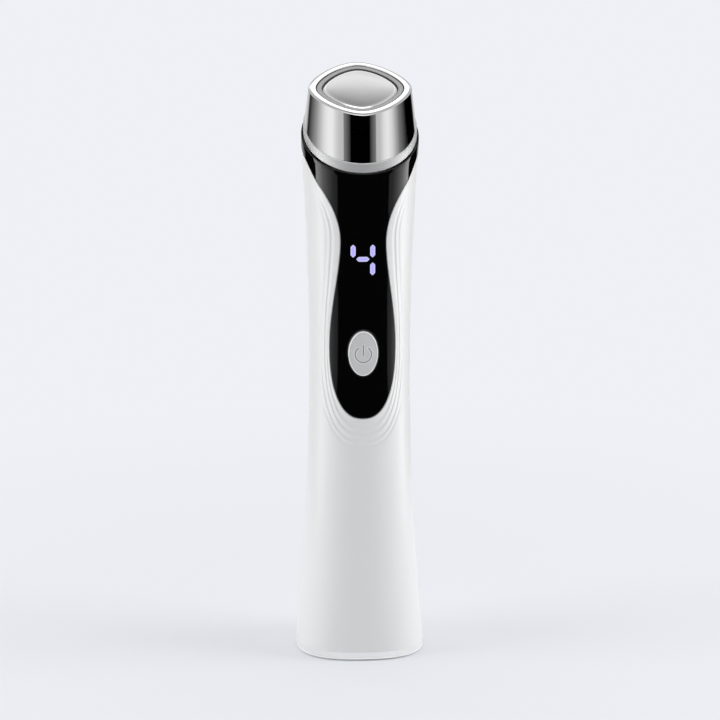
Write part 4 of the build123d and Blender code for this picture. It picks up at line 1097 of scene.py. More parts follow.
@dataclass
class Moulding:
    """What the pieces that follow the body's skin share."""

    book: FinishBook
    wrap: WrapTree
    start_turn: float = -1.5 * math.pi
    turn_steps: int = 96
    ring_cut: SlantedCut = SlantedCut(164.4, 0.49)
    collar_band: float = 4.2
    corner: tuple[float, ...] = (0.0, 0.25, 0.5, 0.75, 1.0)
    button_height: float = 98.15
    digit_height: float = 128.15
    ripple_depth: float = 0.0

    @property
    def turns(self) -> list[float]:
        """Turns of the columns, once round from the right side."""
        return [self.start_turn + 2 * math.pi * step / self.turn_steps for step in range(self.turn_steps + 1)]

    def cut_line(self, drop: float) -> list[Flat]:
        """Line once round the skin, in or under the plane of the ring."""
        cut = SlantedCut(self.ring_cut.height - drop, self.ring_cut.slope)
        return [(turn, cut.at(turn)) for turn in self.turns]

    def seam(self, gap: float = 0.0) -> list[Flat]:
        """Line between shell and panel, once round: the collar's lower edge and the panel's outline.

        Args:
            gap: How far the line lies outside the panel.

        Returns:
            Turns and heights, from the first turn to the last.
        """
        right = [(PROFILE.turn_at(x, height), height) for x, height in OUTLINE.half_curve(0)]
        clear, collar = right[-1][0] + math.pi / self.turn_steps, self.cut_line(self.collar_band)
        line = [point for point in collar if point[0] < -clear] + both_halves(right)
        line += [point for point in collar if point[0] > clear]
        return shifted(line, -gap, False) if gap else line

    def edge_rows(
        self, line: Sequence[Flat], radius: float, outward: float, front: bool = False
    ) -> list[list[Point]]:
        """Rows of a quarter-round along a line, from the skin down.

        Args:
            line: Line of the piece's edge.
            radius: Radius of the rounding.
            outward: 1 where the piece lies to the line's left, else -1.
            front: Whether the line is a closed one of the front view.

        Returns:
            Rows of points.
        """
        rows = []
        for angle in (share * math.pi / 2 for share in self.corner):
            moved = shifted(line, outward * radius * (1 - math.sin(angle)), front, 1.0 if front else SKIN_RADIUS)
            rows.append((from_front if front else at_inset)(moved, radius * (1 - math.cos(angle))))
        return rows

    def scatter(self, low: float, high: float, step: float) -> list[Flat]:
        """Even grid of points over the unrolled skin, in staggered rows.

        Args:
            low: Height of the first row.
            high: Height that the last row may reach.
            step: Distance between rows and columns.

        Returns:
            Turns and heights.
        """
        columns = round(2 * math.pi * SKIN_RADIUS / step)
        return [
            (self.start_turn + 2 * math.pi * (column + 0.5 * (row % 2) + 0.25) / columns, low + step * row)
            for row in range(int((high - low) / step) + 1) for column in range(columns)
        ]

    def closed_domain(self, lower: Sequence[Flat], upper: Sequence[Flat], step: float) -> list[Flat]:
        """Loop round the skin between two lines that go once round.

        Args:
            lower: Line below.
            upper: Line above.
            step: Span of the two upright ends, which meet at the back seam.

        Returns:
            The loop.
        """
        (last, low), high = lower[-1], upper[-1][1]
        spans = max(1, round((high - low) / step))
        heights = [low + (high - low) * place / spans for place in range(1, spans)]
        sides = [[(turn, height) for height in heights] for turn in (last, lower[0][0])]
        return [*lower, *sides[0], *reversed(upper), *reversed(sides[1])]

    def ripple_at(self, turn: float, inset: float, height: float) -> Point:
        """Ripple number, strength and lip of a point: none on a plain piece."""
        return 0.0, 0.0, 0.0

    def place_wrapped(
        self, flat: FlatMesh, finish: Finish, name: str, slot: str, node: str, body: str = MAIN_BODY,
        sharp: float = 40.0,
    ) -> None:
        """Bends a flat mesh round the body with the wrap tree, cleans it and puts it in the scene.

        Args:
            flat: Mesh laid out flat.
            finish: Its finish.
            name: Name of the piece.
            slot: Name of a material slot, passed on to placed.
            node: Construction node that it stands for.
            body: Body that it moves with.
            sharp: Angle past which an edge stays sharp.
        """
        mesh, labels = plain_mesh(name, flat.vertices, flat.faces), ("ripple", "fade", "lip")
        for label, values in zip(labels, zip(*[self.ripple_at(*vertex) for vertex in flat.vertices])):
            keep(mesh, label, values)
        # The trim attribute carries each point's mark of painted highlight or painted shade.
        keep(mesh, "trim", [flat.marks[place] for place in range(len(flat.vertices))])
        inputs = {"Ripple Depth": self.ripple_depth, "Finish": self.book.material(finish)}
        result = grown_mesh(name, mesh, self.wrap.tree, inputs)
        for label in labels:
            result.attributes.remove(result.attributes[label])
        finish_mesh(result, sharp)
        placed(result, name, slot, node, body=body)


@dataclass
class BodyShell(Moulding):
    """The white moulding: its skin with the ripples, the panel's rebate, the port and the foot."""

    wall: float = 2.4
    ledge: float = 1.5
    gap: float = 0.12
    edge: float = 0.3
    support: float = 0.2
    clearance: float = 0.75
    # Heights over which the painted highlight on the edge round the panel fades in, and fades out again near the top.
    lip_start: Flat = (84.0, 98.0)
    lip_end: Flat = (154.0, 142.0)
    ripple_depth: float = 0.17
    grid: float = 1.5
    inner_grid: float = 4.0
    skin_bottom: float = 3.1
    skin_top: float = 163.0
    ledge_reach: Flat = (80.0, 170.0)
    bevel: tuple[Flat, ...] = (
        (0.0, 3.1), (0.004, 2.96), (0.03, 2.82), (0.09, 2.66), (0.42, 1.7), (0.7, 0.9),
        (0.4, 0.74), (0.35, 0.69), (0.34, 0.62), (0.38, 0.54), (0.55, 0.44), (0.8, 0.4),
        (2.2, 0.4), (2.1, 1.4), (2.4, 1.4),
    )
    # Heights and sideways spread of the painted highlight on the foot's bevel.
    bevel_top: float = 2.7
    bevel_sides: Flat = (0.25, 0.85)
    lip_top: float = 0.85
    ripple_parts: tuple[float, ...] = (0.0, 0.25, 0.5, 0.7, 0.85, 0.96)
    first_ripple: float = 0.3
    last_ripple: float = 4.0
    plain_margin: Flat = (0.35, 0.6)
    widest: float = 0.98
    ripple_inset: float = 0.5
    ripple_foot: float = 60.0
    top_fade: Flat = (151.0, 138.0)
    side_rise: Flat = (92.0, 106.0)
    third_line: Flat = (2.9, 3.1)
    third_loss: Flat = (0.45, 0.55)
    third_rise: Flat = (76.0, 84.0)
    second_line: Flat = (1.95, 2.1)
    second_loss: Flat = (0.65, 0.15)
    second_rise: Flat = (84.0, 96.0)
    second_back: Flat = (118.0, 128.0)
    first_line: Flat = (1.15, 0.85)
    lip_power: float = 1.5
    button_opening: Flat = (5.95, 8.5)
    button_steps: int = 40
    digit_opening: Flat = (6.0, 7.8)
    digit_spans: int = 8
    port_height: float = 15.68
    port_hole: Flat = (9.3, 3.62)
    recess: Flat = (12.2, 6.4)
    recess_y: float = 18.0
    recess_least: float = 0.02

    def ripple_at(self, turn: float, inset: float, height: float) -> Point:
        """Ripple number, strength and lip of a point of the flat mesh.

        Args:
            turn: Turn of the point.
            inset: Its depth under the skin.
            height: Its height.

        Returns:
            The three values, all 0 away from the ripples.
        """
        here = inset <= self.ripple_inset and abs(turn) <= math.pi / 2
        number = self.number_at(turn, height) if here and self.ripple_foot < height < OUTLINE.ripple_top else 0.0
        if not 0 < number < self.last_ripple:
            return 0.0, 0.0, 0.0
        top, side = smooth(height, *self.top_fade), smooth(height, *self.side_rise)
        third = self.third_loss[0] + self.third_loss[1] * smooth(height, *self.third_rise)
        second = self.second_loss[0] * smooth(height, *self.second_rise)
        second -= self.second_loss[1] * smooth(height, *self.second_back)
        fade = top * (1 - smooth(number, *self.third_line) * third)
        fade *= 1 - second * smooth(number, *self.second_line)
        fade *= 1 - smooth(number, *self.first_line) * side
        return number, fade, side * top * max(0.0, 1 - number) ** self.lip_power

    def number_at(self, turn: float, height: float) -> float:
        """Number of the ripple line through a point of the skin."""
        return OUTLINE.ripple_number(PROFILE.reach(turn, height) * math.sin(turn), height)

    def plain(self, turn: float, height: float) -> bool:
        """Whether a grid point lies outside the ripples' own rows."""
        aside = abs(turn) > math.pi / 2 or height > OUTLINE.ripple_top + self.plain_margin[1]
        return aside or self.number_at(turn, height) > self.last_ripple + self.plain_margin[0]

    def ripple_lines(self) -> list[list[Flat]]:
        """Lines of points along the ripples and between them.

        Returns:
            The lines, each with both its halves.
        """
        numbers = [whole + part for whole in range(int(self.last_ripple)) for part in self.ripple_parts]
        halves = [OUTLINE.half_curve(n) for n in (*numbers, self.last_ripple) if n >= self.first_ripple]
        kept = [[(x, z) for x, z in half if x < self.widest * PROFILE.radius(z)] for half in halves]
        return [both_halves([(PROFILE.turn_at(x, z), z) for x, z in half]) for half in kept]

    def opening_loops(self, inset: float) -> list[list[Point]]:
        """Edges of the openings for the button and the digit.

        Args:
            inset: Depth under the skin.

        Returns:
            The two loops.
        """
        width, tall = self.digit_opening
        corners = [(-width, -tall), (width, -tall), (width, tall), (-width, tall)]
        box = divided([(x, self.digit_height + z) for x, z in corners], [self.digit_spans])
        button = oval(*self.button_opening, self.button_height, self.button_steps)
        return [from_front(button, inset), from_front(box, inset)]

    def recess_loop(self) -> list[Flat]:
        """Edge of the flat round the port, drawn in where the flat runs out into the skin.

        Returns:
            Sideways places and heights.
        """
        loop = []
        for x, z in slot_outline(*self.recess, self.port_height):
            half = halved(0.0, 10.0, lambda side: PROFILE.unwrap(side, self.recess_y, z)[1] > self.recess_least, 30)
            loop.append((max(-half, min(half, x)), z))
        return loop

    def on_flat(self, x: float, height: float) -> Point:
        """Turn, inset and height of a point of the flat round the port."""
        return PROFILE.unwrap(x, self.recess_y, height)

    def lip_painted_highlight(self, point: Point) -> float:
        """Strength of the painted highlight at a point of the edge round the panel, full beside the panel's waist."""
        return smooth(point[2], *self.lip_start) * smooth(point[2], *self.lip_end)

    def bevel_painted_highlight(self, point: Point) -> float:
        """Strength of the painted highlight at a point of the foot's bevel: full on its lip, less towards the sides
        above it.
        """
        aside = smooth(abs(math.sin(point[0])), *self.bevel_sides)
        return 1.0 if point[2] < self.lip_top else 1 - aside if point[2] < self.bevel_top else 0.0

    def build(self) -> None:
        """Makes the shell."""
        flat, seam, recess = FlatMesh(), self.seam(self.gap), self.recess_loop()
        rounded = self.edge_rows(seam, self.edge, -1)
        bottom = [(turn, self.skin_bottom) for turn in self.turns]
        outer = self.closed_domain(bottom, flattened(rounded[0]), self.grid)
        grid = self.scatter(self.skin_bottom + self.grid, self.skin_top, self.grid)
        grid = [point for point in grid if self.plain(*point)]
        lines = [*self.ripple_lines(), shifted(seam, -self.edge - self.support, False)]
        flat.sheet([outer, flattened(from_back(recess, 0.0))], grid, unrolled(0.0), lines, self.clearance)
        # The rounded edge round the panel carries painted highlight.
        flat.strips(rounded, mark=self.lip_painted_highlight)
        flat.strip(rounded[-1], at_inset(seam, self.ledge))
        # The foot's bevel carries painted highlight.
        flat.strips([[(turn, *ring) for turn in self.turns] for ring in self.bevel], mark=self.bevel_painted_highlight)
        self.add_port(flat, recess)
        self.add_ledge(flat, seam)
        self.place_wrapped(flat, WHITE_GLOSS, "body_shell_skin", "shell_white", "body_shell")

    def add_port(self, flat: FlatMesh, recess: Sequence[Flat]) -> None:
        """Adds the flat round the port and the port's hole through the wall.

        Args:
            flat: Mesh to add to.
            recess: Edge of the flat, as sideways places and heights.
        """
        hole = slot_outline(*self.port_hole, self.port_height)
        flat.strip(from_back(recess, 0.0), [self.on_flat(*point) for point in recess], closed=True)
        flat.sheet([recess, hole], [], self.on_flat, scale=1.0)
        flat.strip([self.on_flat(*point) for point in hole], from_back(hole, self.wall), closed=True)

    def add_ledge(self, flat: FlatMesh, seam: Sequence[Flat]) -> None:
        """Adds the rebate under the panel, the top of the wall and the wall's inner face.

        Args:
            flat: Mesh to add to.
            seam: Line between shell and panel.
        """
        top, bottom = self.cut_line(0.0), [(turn, self.bevel[-1][1]) for turn in self.turns]
        ledge_loops, wall_loops = self.opening_loops(self.ledge), self.opening_loops(self.wall)
        grid = self.scatter(*self.ledge_reach, self.inner_grid)
        domain = self.closed_domain(seam, top, self.grid)
        flat.sheet([domain, *map(flattened, ledge_loops)], grid, unrolled(self.ledge))
        flat.strip(at_inset(top, self.ledge), at_inset(top, self.wall))
        for outer, inner in zip(ledge_loops, wall_loops):
            flat.strip(outer, inner, closed=True)
        port = from_back(slot_outline(*self.port_hole, self.port_height), self.wall)
        grid = self.scatter(self.inner_grid, self.ledge_reach[1], self.inner_grid)
        domain = self.closed_domain(bottom, top, self.inner_grid)
        flat.sheet([domain, *map(flattened, (*wall_loops, port))], grid, unrolled(self.wall))


@dataclass(frozen=True)
class Bar:
    """One bar of the digit: its centre in the front view, from the digit's middle, and its turn."""

    x: float
    z: float
    upright: bool
    lit: bool


@dataclass
class DigitBars(Moulding):
    """The seven bars of the digit, four of them lit so that they make a 4, flush in the panel."""

    bars: tuple[Bar, ...] = (
        Bar(-3.02, 2.66, True, True), Bar(3.02, 2.66, True, True), Bar(0.0, 0.1, False, True),
        Bar(3.02, -3.05, True, True), Bar(0.0, 5.6, False, False), Bar(0.0, -6.0, False, False),
        Bar(-3.02, -3.05, True, False),
    )
    shift: float = -0.22
    width: float = 1.5
    length: float = 4.1
    tip: float = 0.1
    blunt: float = 0.3
    tip_spans: int = 3
    side_spans: int = 5
    sink: float = 0.01
    back: float = 4.6
    glow_edge: float = 0.38
    middle: Flat = (0.5, 0.25)

    def outline(self, grow: float = 0.0) -> list[Flat]:
        """Outline of a bar that lies along X, with blunt points, anticlockwise.

        Args:
            grow: How far it grows on every side.

        Returns:
            Places along and across the bar.
        """
        half, side, tip = self.length / 2 + grow, self.width / 2 + grow, self.tip
        point = half - self.blunt * tip
        right = [(half - side, -side), (half - tip, -tip), (point, 0.0), (half - tip, tip), (half - side, side)]
        cuts = [self.tip_spans, 1, 1, self.tip_spans, self.side_spans]
        return divided(right + [(-x, -z) for x, z in right], cuts)

    def front_outline(self, bar: Bar, grow: float) -> list[Flat]:
        """Outline of a bar in its place in the front view."""
        places = [(-z, x) if bar.upright else (x, z) for x, z in self.outline(grow)]
        return [(self.shift + bar.x + x, self.digit_height + bar.z + z) for x, z in places]

    def bar_mesh(self) -> bpy.types.Mesh:
        """Makes one bar, lying along X with its front towards -Y.

        Returns:
            Its mesh, in millimetres, with its front edge marked.
        """
        rim, core = self.outline(), self.outline(-self.glow_edge)
        middle = [(x * self.middle[0], z * self.middle[1]) for x, z in core]
        lines = ((self.back, rim), (0.0, rim), (0.0, core), (0.0, middle))
        rows = [[Vector((x, depth, z)) for x, z in line] for depth, line in lines]
        mesh = ring_mesh("digit_bar", rows, (Vector(), Vector((0.0, self.back, 0.0))), 1.0)
        count = len(rim)
        keep(mesh, "edge", [float(count <= place < 2 * count) for place in range(len(mesh.vertices))])
        return mesh

    def build(self, repeat: RepeatTree) -> None:
        """Makes the lit and the unlit bars.

        Args:
            repeat: Tree that stands the bar on each place.
        """
        holder = in_scene("digit_bar", self.bar_mesh())
        for name, lit, finish, slot in (
            ("lit_segments", True, LIT, "segment_lit"), ("unlit_segments", False, UNLIT, "segment_dark"),
        ):
            chosen = [bar for bar in self.bars if bar.lit is lit]
            points = plain_mesh(name, [(self.shift + bar.x, 0.0, self.digit_height + bar.z) for bar in chosen], [])
            keep(points, "turned", [math.pi / 2 * bar.upright for bar in chosen])
            material = self.book.material(finish)
            mesh = grown_mesh(name, points, repeat.tree, {"Piece": holder, "Finish": material})
            for vertex in mesh.vertices:
                x, depth, height = vertex.co
                vertex.co = in_front(self.sink + depth)(x, height)
            mesh = grown_mesh(name, mesh, self.wrap.tree, {"Finish": material})
            finish_mesh(mesh, 40)
            placed(mesh, f"{name}_clear", slot, name)
        bpy.data.objects.remove(holder)


@dataclass
class FrontPanel(Moulding):
    """The glossy black panel with its collar, open for the button and the digit's bars."""

    thickness: float = 1.4
    lip: float = 0.3
    edge: float = 0.16
    button_hole: Flat = (4.9, 7.45)
    button_steps: int = 72
    button_round: float = 0.25
    bar_gap: float = 0.015
    support: float = 0.2
    clearance: float = 0.6
    grid: float = 1.3
    inner_grid: float = 3.0
    face_reach: Flat = (78.0, 172.0)
    back_reach: Flat = (79.0, 172.0)

    def build(self, digit: DigitBars) -> None:
        """Makes the panel.

        Args:
            digit: The digit, which gives the openings of its bars.
        """
        flat, seam, top = FlatMesh(), self.seam(), self.cut_line(self.lip)
        low_rows, high_rows = self.edge_rows(seam, self.edge, 1), self.edge_rows(top, self.edge, -1)
        button = oval(*self.button_hole, self.button_height, self.button_steps)
        bars = [digit.front_outline(bar, self.bar_gap) for bar in digit.bars]
        button_rows = self.edge_rows(button, self.button_round, -1, True)
        holes = [button_rows[0], *[from_front(bar, 0.0) for bar in bars]]
        ring = flattened(from_front(shifted(button, -self.button_round - self.support, True, 1.0), 0.0))
        lines = [shifted(seam, self.edge + self.support, False), [*ring, ring[0]]]
        domain = self.closed_domain(flattened(low_rows[0]), flattened(high_rows[0]), self.grid)
        grid = self.scatter(*self.face_reach, self.grid)
        flat.sheet([domain, *map(flattened, holes)], grid, unrolled(0.0), lines, self.clearance)
        flat.strips(low_rows)
        flat.strips(high_rows)
        flat.strips(button_rows, closed=True)
        flat.strip(low_rows[-1], at_inset(seam, self.thickness))
        flat.strip(high_rows[-1], at_inset(top, self.thickness))
        deep = [from_front(loop, self.thickness) for loop in (button, *bars)]
        for outer, inner in zip([button_rows[-1], *holes[1:]], deep):
            flat.strip(outer, inner, closed=True)
        domain = self.closed_domain(seam, top, self.grid)
        grid = self.scatter(*self.back_reach, self.inner_grid)
        flat.sheet([domain, *map(flattened, deep)], grid, unrolled(self.thickness))
        self.place_wrapped(flat, BLACK_GLOSS, "front_panel_gloss", "panel_black", "front_panel")


@dataclass
class PowerButton(Moulding):
    """The oval button, with a rounded edge and a sunk on-off symbol."""

    half_width: float = 4.62
    half_height: float = 7.12
    steps: int = 120
    proud: float = 0.5
    # Inward step, drop and mark of each row of the rounded edge; the marks paint a highlight along the edge and a
    # little shade where it meets the face.
    rim: tuple[Point, ...] = (
        (0.0, 0.34, 1.0), (0.02, 0.2, 1.0), (0.06, 0.09, 1.0), (0.12, 0.03, 1.0), (0.19, 0.0, 1.0),
        (0.27, 0.02, 1.0), (0.33, 0.07, 0.9), (0.38, 0.13, -0.25), (0.46, 0.13, 0.0),
    )
    face_drop: float = 0.13
    depth: float = 2.6
    grid: float = 0.45
    grid_reach: tuple[int, int] = (10, 16)
    clearance: float = 0.3
    symbol_radius: float = 2.52
    symbol_drop: float = 0.28
    stroke: float = 0.9
    bar_top: float = 3.45
    bar_bottom: float = -0.75
    gap_angle: float = 38.0
    arc_steps: int = 44
    end_steps: int = 6
    bar_spans: int = 10
    # Inward step, drop and mark of each row of the symbol's groove; the marks paint a highlight beside it and shade
    # down its sides and on its floor.
    groove: tuple[Point, ...] = (
        (0.0, 0.0, 0.0), (0.05, -0.02, 0.55), (0.24, 0.0, 0.55), (0.28, 0.05, -0.6), (0.32, 0.12, -1.0),
    )

    def symbol(self, grow: float) -> list[list[Flat]]:
        """Outlines of the sunk symbol, with round ends, anticlockwise.

        Args:
            grow: How far each stroke grows on both sides.

        Returns:
            Outline of the broken ring, and of the upright bar.
        """
        half, middle = self.stroke / 2 + grow, (self.bar_top + self.bar_bottom) / 2
        start, end = math.radians(90 + self.gap_angle), math.radians(450 - self.gap_angle)
        ring = []
        for way, first, last, turned in ((1, start, end, 0.0), (-1, end, start, math.pi)):
            ring += arc(self.symbol_radius + way * half, first, last, self.arc_steps)
            tip = (self.symbol_radius * math.cos(last), self.symbol_radius * math.sin(last))
            ring += arc(half, last + turned, last + turned + math.pi, self.end_steps, tip, 1)
        length = self.bar_top - self.bar_bottom + 2 * grow
        bar = slot_outline(length, 2 * half, 0.0, self.end_steps, self.bar_spans)
        level = self.button_height - self.symbol_drop
        return [[(x, level + z) for x, z in ring], [(-z, level + middle + x) for x, z in bar]]

    def build(self) -> None:
        """Makes the button."""
        flat, line = FlatMesh(), oval(self.half_width, self.half_height, self.button_height, self.steps)
        # The rows of the side and rounded edge carry painted highlight and a little painted shade, as the rim's marks
        # give.
        rows, marks = [from_front(line, self.depth)], [1.0]
        for inward, drop, mark in self.rim:
            rows.append(from_front(shifted(line, inward, True, 1.0), drop - self.proud))
            marks.append(mark)
        for first, second, *ends in zip(rows, rows[1:], marks, marks[1:]):
            flat.strip(first, second, True, ends)
        level = self.face_drop - self.proud
        columns, rises = (range(-reach, reach + 1) for reach in self.grid_reach)
        grid = [(x * self.grid, self.button_height + z * self.grid) for x in columns for z in rises]
        face = shifted(line, self.rim[-1][0], True, 1.0)
        flat.sheet([face, *self.symbol(0.0)], grid, in_front(level), (), self.clearance, 1.0)
        # The symbol's groove carries painted highlight beside it and painted shade down its sides and on its floor.
        steps = [(self.symbol(-inward), level + drop, mark) for inward, drop, mark in self.groove]
        for part in (0, 1):
            for (upper, high, first), (lower, low, second) in zip(steps, steps[1:]):
                flat.strip(from_front(upper[part], high), from_front(lower[part], low), True, (first, second))
            flat.sheet([lower[part]], [], in_front(low), scale=1.0, mark=second)
        flat.sheet([line], grid, in_front(self.depth), (), self.clearance, 1.0)
        self.place_wrapped(flat, BUTTON, "power_button_cap", "button_grey", "power_button", BUTTON_BODY, 50)


@dataclass(frozen=True)
class Ring:
    """One ring of a slanted form: height on the axis, slope, radius, exponent and crown."""

    height: float
    slope: float
    radius: float
    exponent: float = 2.0
    crown: float = 0.0
    steps: ClassVar[int] = 256
    softness: ClassVar[float] = 0.17

    def points(self) -> list[Vector]:
        """Points once round the ring.

        Returns:
            Points in millimetres, on softly rounded corners where the ring isn't a circle.
        """
        soft, half = self.softness ** 2 if self.exponent != 2 else 0.0, self.exponent / 2
        full = (1 + soft) ** half + soft ** half
        result = []
        for turn in (2 * math.pi * step / self.steps for step in range(self.steps)):
            sine, cosine = math.sin(turn), math.cos(turn)
            parts = (sine * sine + soft) ** half + (cosine * cosine + soft) ** half
            reach = self.radius * (full / parts) ** (1 / self.exponent)
            y = -reach * cosine
            result.append(Vector((reach * sine, y, self.height + self.slope * y + self.crown)))
        return result

    def toward(self, other: "Ring", share: float) -> "Ring":
        """Ring part of the way to another one."""
        return Ring(*between(vars(self).values(), vars(other).values(), share))

    def away(self, other: "Ring") -> float:
        """Distance to another ring in the profile."""
        return math.hypot(other.radius - self.radius, other.height + other.crown - self.height - self.crown)


def corner_rings(before: Ring, corner: Ring, after: Ring, radius: float, steps: int = 5) -> list[Ring]:
    """Rings that round the corner of a profile made of rings.

    Args:
        before: Ring that the profile comes from.
        corner: Ring at the sharp corner.
        after: Ring that the profile goes to.
        radius: Distance from the corner at which the rounding starts.
        steps: Spans of the rounding.

    Returns:
        The rings that take the corner's place.
    """
    start, end = (corner.toward(side, min(0.5, radius / corner.away(side))) for side in (before, after))
    shares = [step / steps for step in range(steps + 1)]
    return [start.toward(corner, share).toward(corner.toward(end, share), share) for share in shares]


@dataclass
class Head:
    """The ringed pieces: foot ring, trim ring, mirror shell, gasket and centre electrode."""

    book: FinishBook
    exponent: float = 1.5
    circle: float = 2.0
    ring_height: float = 164.4
    ring_slope: float = 0.49
    ring_radius: float = 17.55
    ring_inner: float = 15.0
    ring_band: float = 2.75
    ring_edges: Span = (0.0, 0.2, 0.14, 0.0)
    # Rings of the lower outer rounding that carry painted highlight.
    ring_painted_highlight: range = range(1, 6)
    foot_radius: float = 17.3
    top_radius: float = 16.0
    rim_height: float = 178.62
    rim_slope: float = 0.316
    rim_bevel: float = 0.2
    rim_inset: float = 0.9
    rim_thickness: float = 1.4
    rim_opening: float = 13.7
    rim_edges: tuple[float, ...] = (0.12, 0.12, 0.1, 0.12, 0.0, 0.0, 0.0)
    # Rings of the rim's top bevel that carry painted shade, a darker reflection painted in.
    rim_painted_shade: range = range(17, 21)
    wall: float = 1.3
    wall_spans: int = 8
    wall_tilt: float = 0.105
    wall_steepest: float = 0.45
    wall_margin: float = 0.02
    mirror_half: float = 17.0
    gasket_drop: float = 0.18
    gasket_gap: float = 0.16
    # Width from each edge of the gasket's face over which its painted shade fades out.
    gasket_edge: float = 0.34
    gasket_round: float = 0.12
    plate_radius: float = 11.5
    plate_drop: float = -0.18
    plate_inset: float = 0.65
    plate_bevel: float = 0.3
    plate_round: float = 0.15
    plate_rings: int = 24
    plate_run: float = 2.0
    # Rings of the plate's bevel that carry painted highlight.
    plate_painted_highlight: range = range(1, 7)
    plate_crown: float = 0.4
    carrier_gap: float = 0.1
    foot_size: Point = (12.5, 15.5, 0.9)
    foot_edges: Span = (0.25, 0.25, 0.0, 0.0)

    def add(
        self, rings: Sequence[Ring], finish: Finish, name: str, slot: str, node: str,
        marks: dict[int, float], poles: Sequence[Vector] = (), sharp: float = 40.0,
    ) -> bpy.types.Mesh:
        """Makes a closed piece through rings and puts it in the scene.

        Args:
            rings: Its rings in order.
            finish: Its finish.
            name: Name of the piece.
            slot: Name of a material slot, passed on to placed.
            node: Construction node that it stands for.
            marks: Mark of a ring by its number: 1 for the painted highlight, -1 for the painted shade.
            poles: Points that close the last and the first ring.
            sharp: Angle past which an edge stays sharp.

        Returns:
            Its mesh.
        """
        mesh = ring_mesh(name, [ring.points() for ring in rings], poles)
        # The trim attribute carries each ring's mark of painted highlight or painted shade.
        values = [marks.get(row, 0.0) for row in range(len(rings)) for _ in range(Ring.steps)]
        keep(mesh, "trim", values + [0.0] * len(poles))
        mesh.materials.append(self.book.material(finish))
        finish_mesh(mesh, sharp)
        placed(mesh, name, slot, node)
        return mesh

    def slanted(self, *places: Flat) -> list[Ring]:
        """Rings in the slope of the rim, each given by height and radius."""
        return [Ring(height, self.rim_slope, radius, self.exponent) for height, radius in places]

    @staticmethod
    def rounded(corners: Sequence[Ring], radii: Sequence[float]) -> list[Ring]:
        """Rounds the corners of a closed profile, each by its own radius.

        Args:
            corners: Rings at the corners.
            radii: Radius for each, 0 to leave it sharp.

        Returns:
            The rings of the rounded profile.
        """
        rings = []
        for place, (corner, radius) in enumerate(zip(corners, radii)):
            before, after = corners[place - 1], corners[(place + 1) % len(corners)]
            rings += corner_rings(before, corner, after, radius) if radius else [corner]
        return rings

    def band(self, low: float, high: float, slope: float, inner: float, outer: float, radii: Span) -> list[Ring]:
        """Profile of a plain ring.

        Args:
            low: Height of its underside on the axis.
            high: Height of its top.
            slope: Its slope.
            inner: Inner radius.
            outer: Outer radius.
            radii: Rounding of its four corners: low inner, low outer, high outer and high inner.

        Returns:
            The rings.
        """
        places = ((low, inner), (low, outer), (high, outer), (high, inner))
        return self.rounded([Ring(height, slope, radius) for height, radius in places], radii)

    def head_shell(self) -> None:
        """Makes the mirror shell, from its foot on the ring to its open rim."""
        foot, top, inner = self.ring_height + self.ring_band, self.rim_height, self.rim_height - self.rim_thickness
        corners = [
            Ring(foot, self.ring_slope, self.foot_radius),
            *self.slanted(
                (top - self.rim_bevel, self.top_radius), (top, self.top_radius - self.rim_inset),
                (top, self.rim_opening), (inner, self.rim_opening), (inner, self.top_radius - self.wall),
            ),
            Ring(foot, self.ring_slope, self.foot_radius - self.wall),
        ]
        rings = self.rounded(corners, self.rim_edges)
        wall = [corners[0].toward(corners[1], share / self.wall_spans) for share in range(1, self.wall_spans)]
        rings[6:6] = wall
        # Painted shade on the rim's top bevel.
        marks = dict.fromkeys(self.rim_painted_shade, -1.0)
        mesh = self.add(rings, MIRROR, "head_shell_mirror", "head_chrome", "head_shell", marks)
        self.even_out(mesh, corners[0], corners[1])

    def even_out(self, mesh: bpy.types.Mesh, foot: Ring, top: Ring) -> None:
        """Turns the wall's shading so that reflections run straight up it.

        Args:
            mesh: Mesh of the mirror shell.
            foot: Ring at the wall's foot.
            top: Ring at its top.
        """
        normals = []
        for corner, loop in zip(mesh.corner_normals, mesh.loops):
            normal, spot = corner.vector.copy(), mesh.vertices[loop.vertex_index].co / MM
            whole = top.height - foot.height + (top.slope - foot.slope) * spot.y
            share = (spot.z - foot.height - foot.slope * spot.y) / whole
            outward = normal.x * spot.x + normal.y * spot.y > 0
            if outward and abs(normal.z) < self.wall_steepest and -self.wall_margin < share < 1 + self.wall_margin:
                half = foot.radius + (top.radius - foot.radius) * share
                across = max(-1.0, min(1.0, spot.x / half))
                across = across ** 3 + spot.x / self.mirror_half * (1 - across ** 2)
                flat = math.sqrt(1 - self.wall_tilt ** 2)
                depth = math.copysign(math.sqrt(max(0.0, 1 - across ** 2)), spot.y)
                normal = Vector((across * flat, depth * flat, self.wall_tilt))
            normals.append(normal.normalized())
        mesh.normals_split_custom_set(normals)

    def gasket(self) -> None:
        """Makes the grey gasket between the rim and the centre electrode, with painted shade on all but the middle of
        its face.
        """
        top, low = self.rim_height - self.gasket_drop, self.rim_height - self.rim_thickness - self.carrier_gap
        outer, inner = self.rim_opening - self.gasket_gap, self.plate_radius + self.gasket_gap
        corners = self.slanted((low, outer), (top, outer), (top, inner), (low, inner))
        rings = self.rounded(corners, (0.0, self.gasket_round, self.gasket_round, 0.0))
        rings[7:7] = self.slanted((top, outer - self.gasket_edge), (top, inner + self.gasket_edge))
        # Painted shade on every ring but the two in the middle of the face, in place of the shadowed gaps to the rim
        # and the plate.
        marks = {row: -1.0 for row in range(len(rings)) if row not in (7, 8)}
        self.add(rings, GASKET, "electrode_gasket_soft", "gasket_grey", "electrode_gasket", marks)

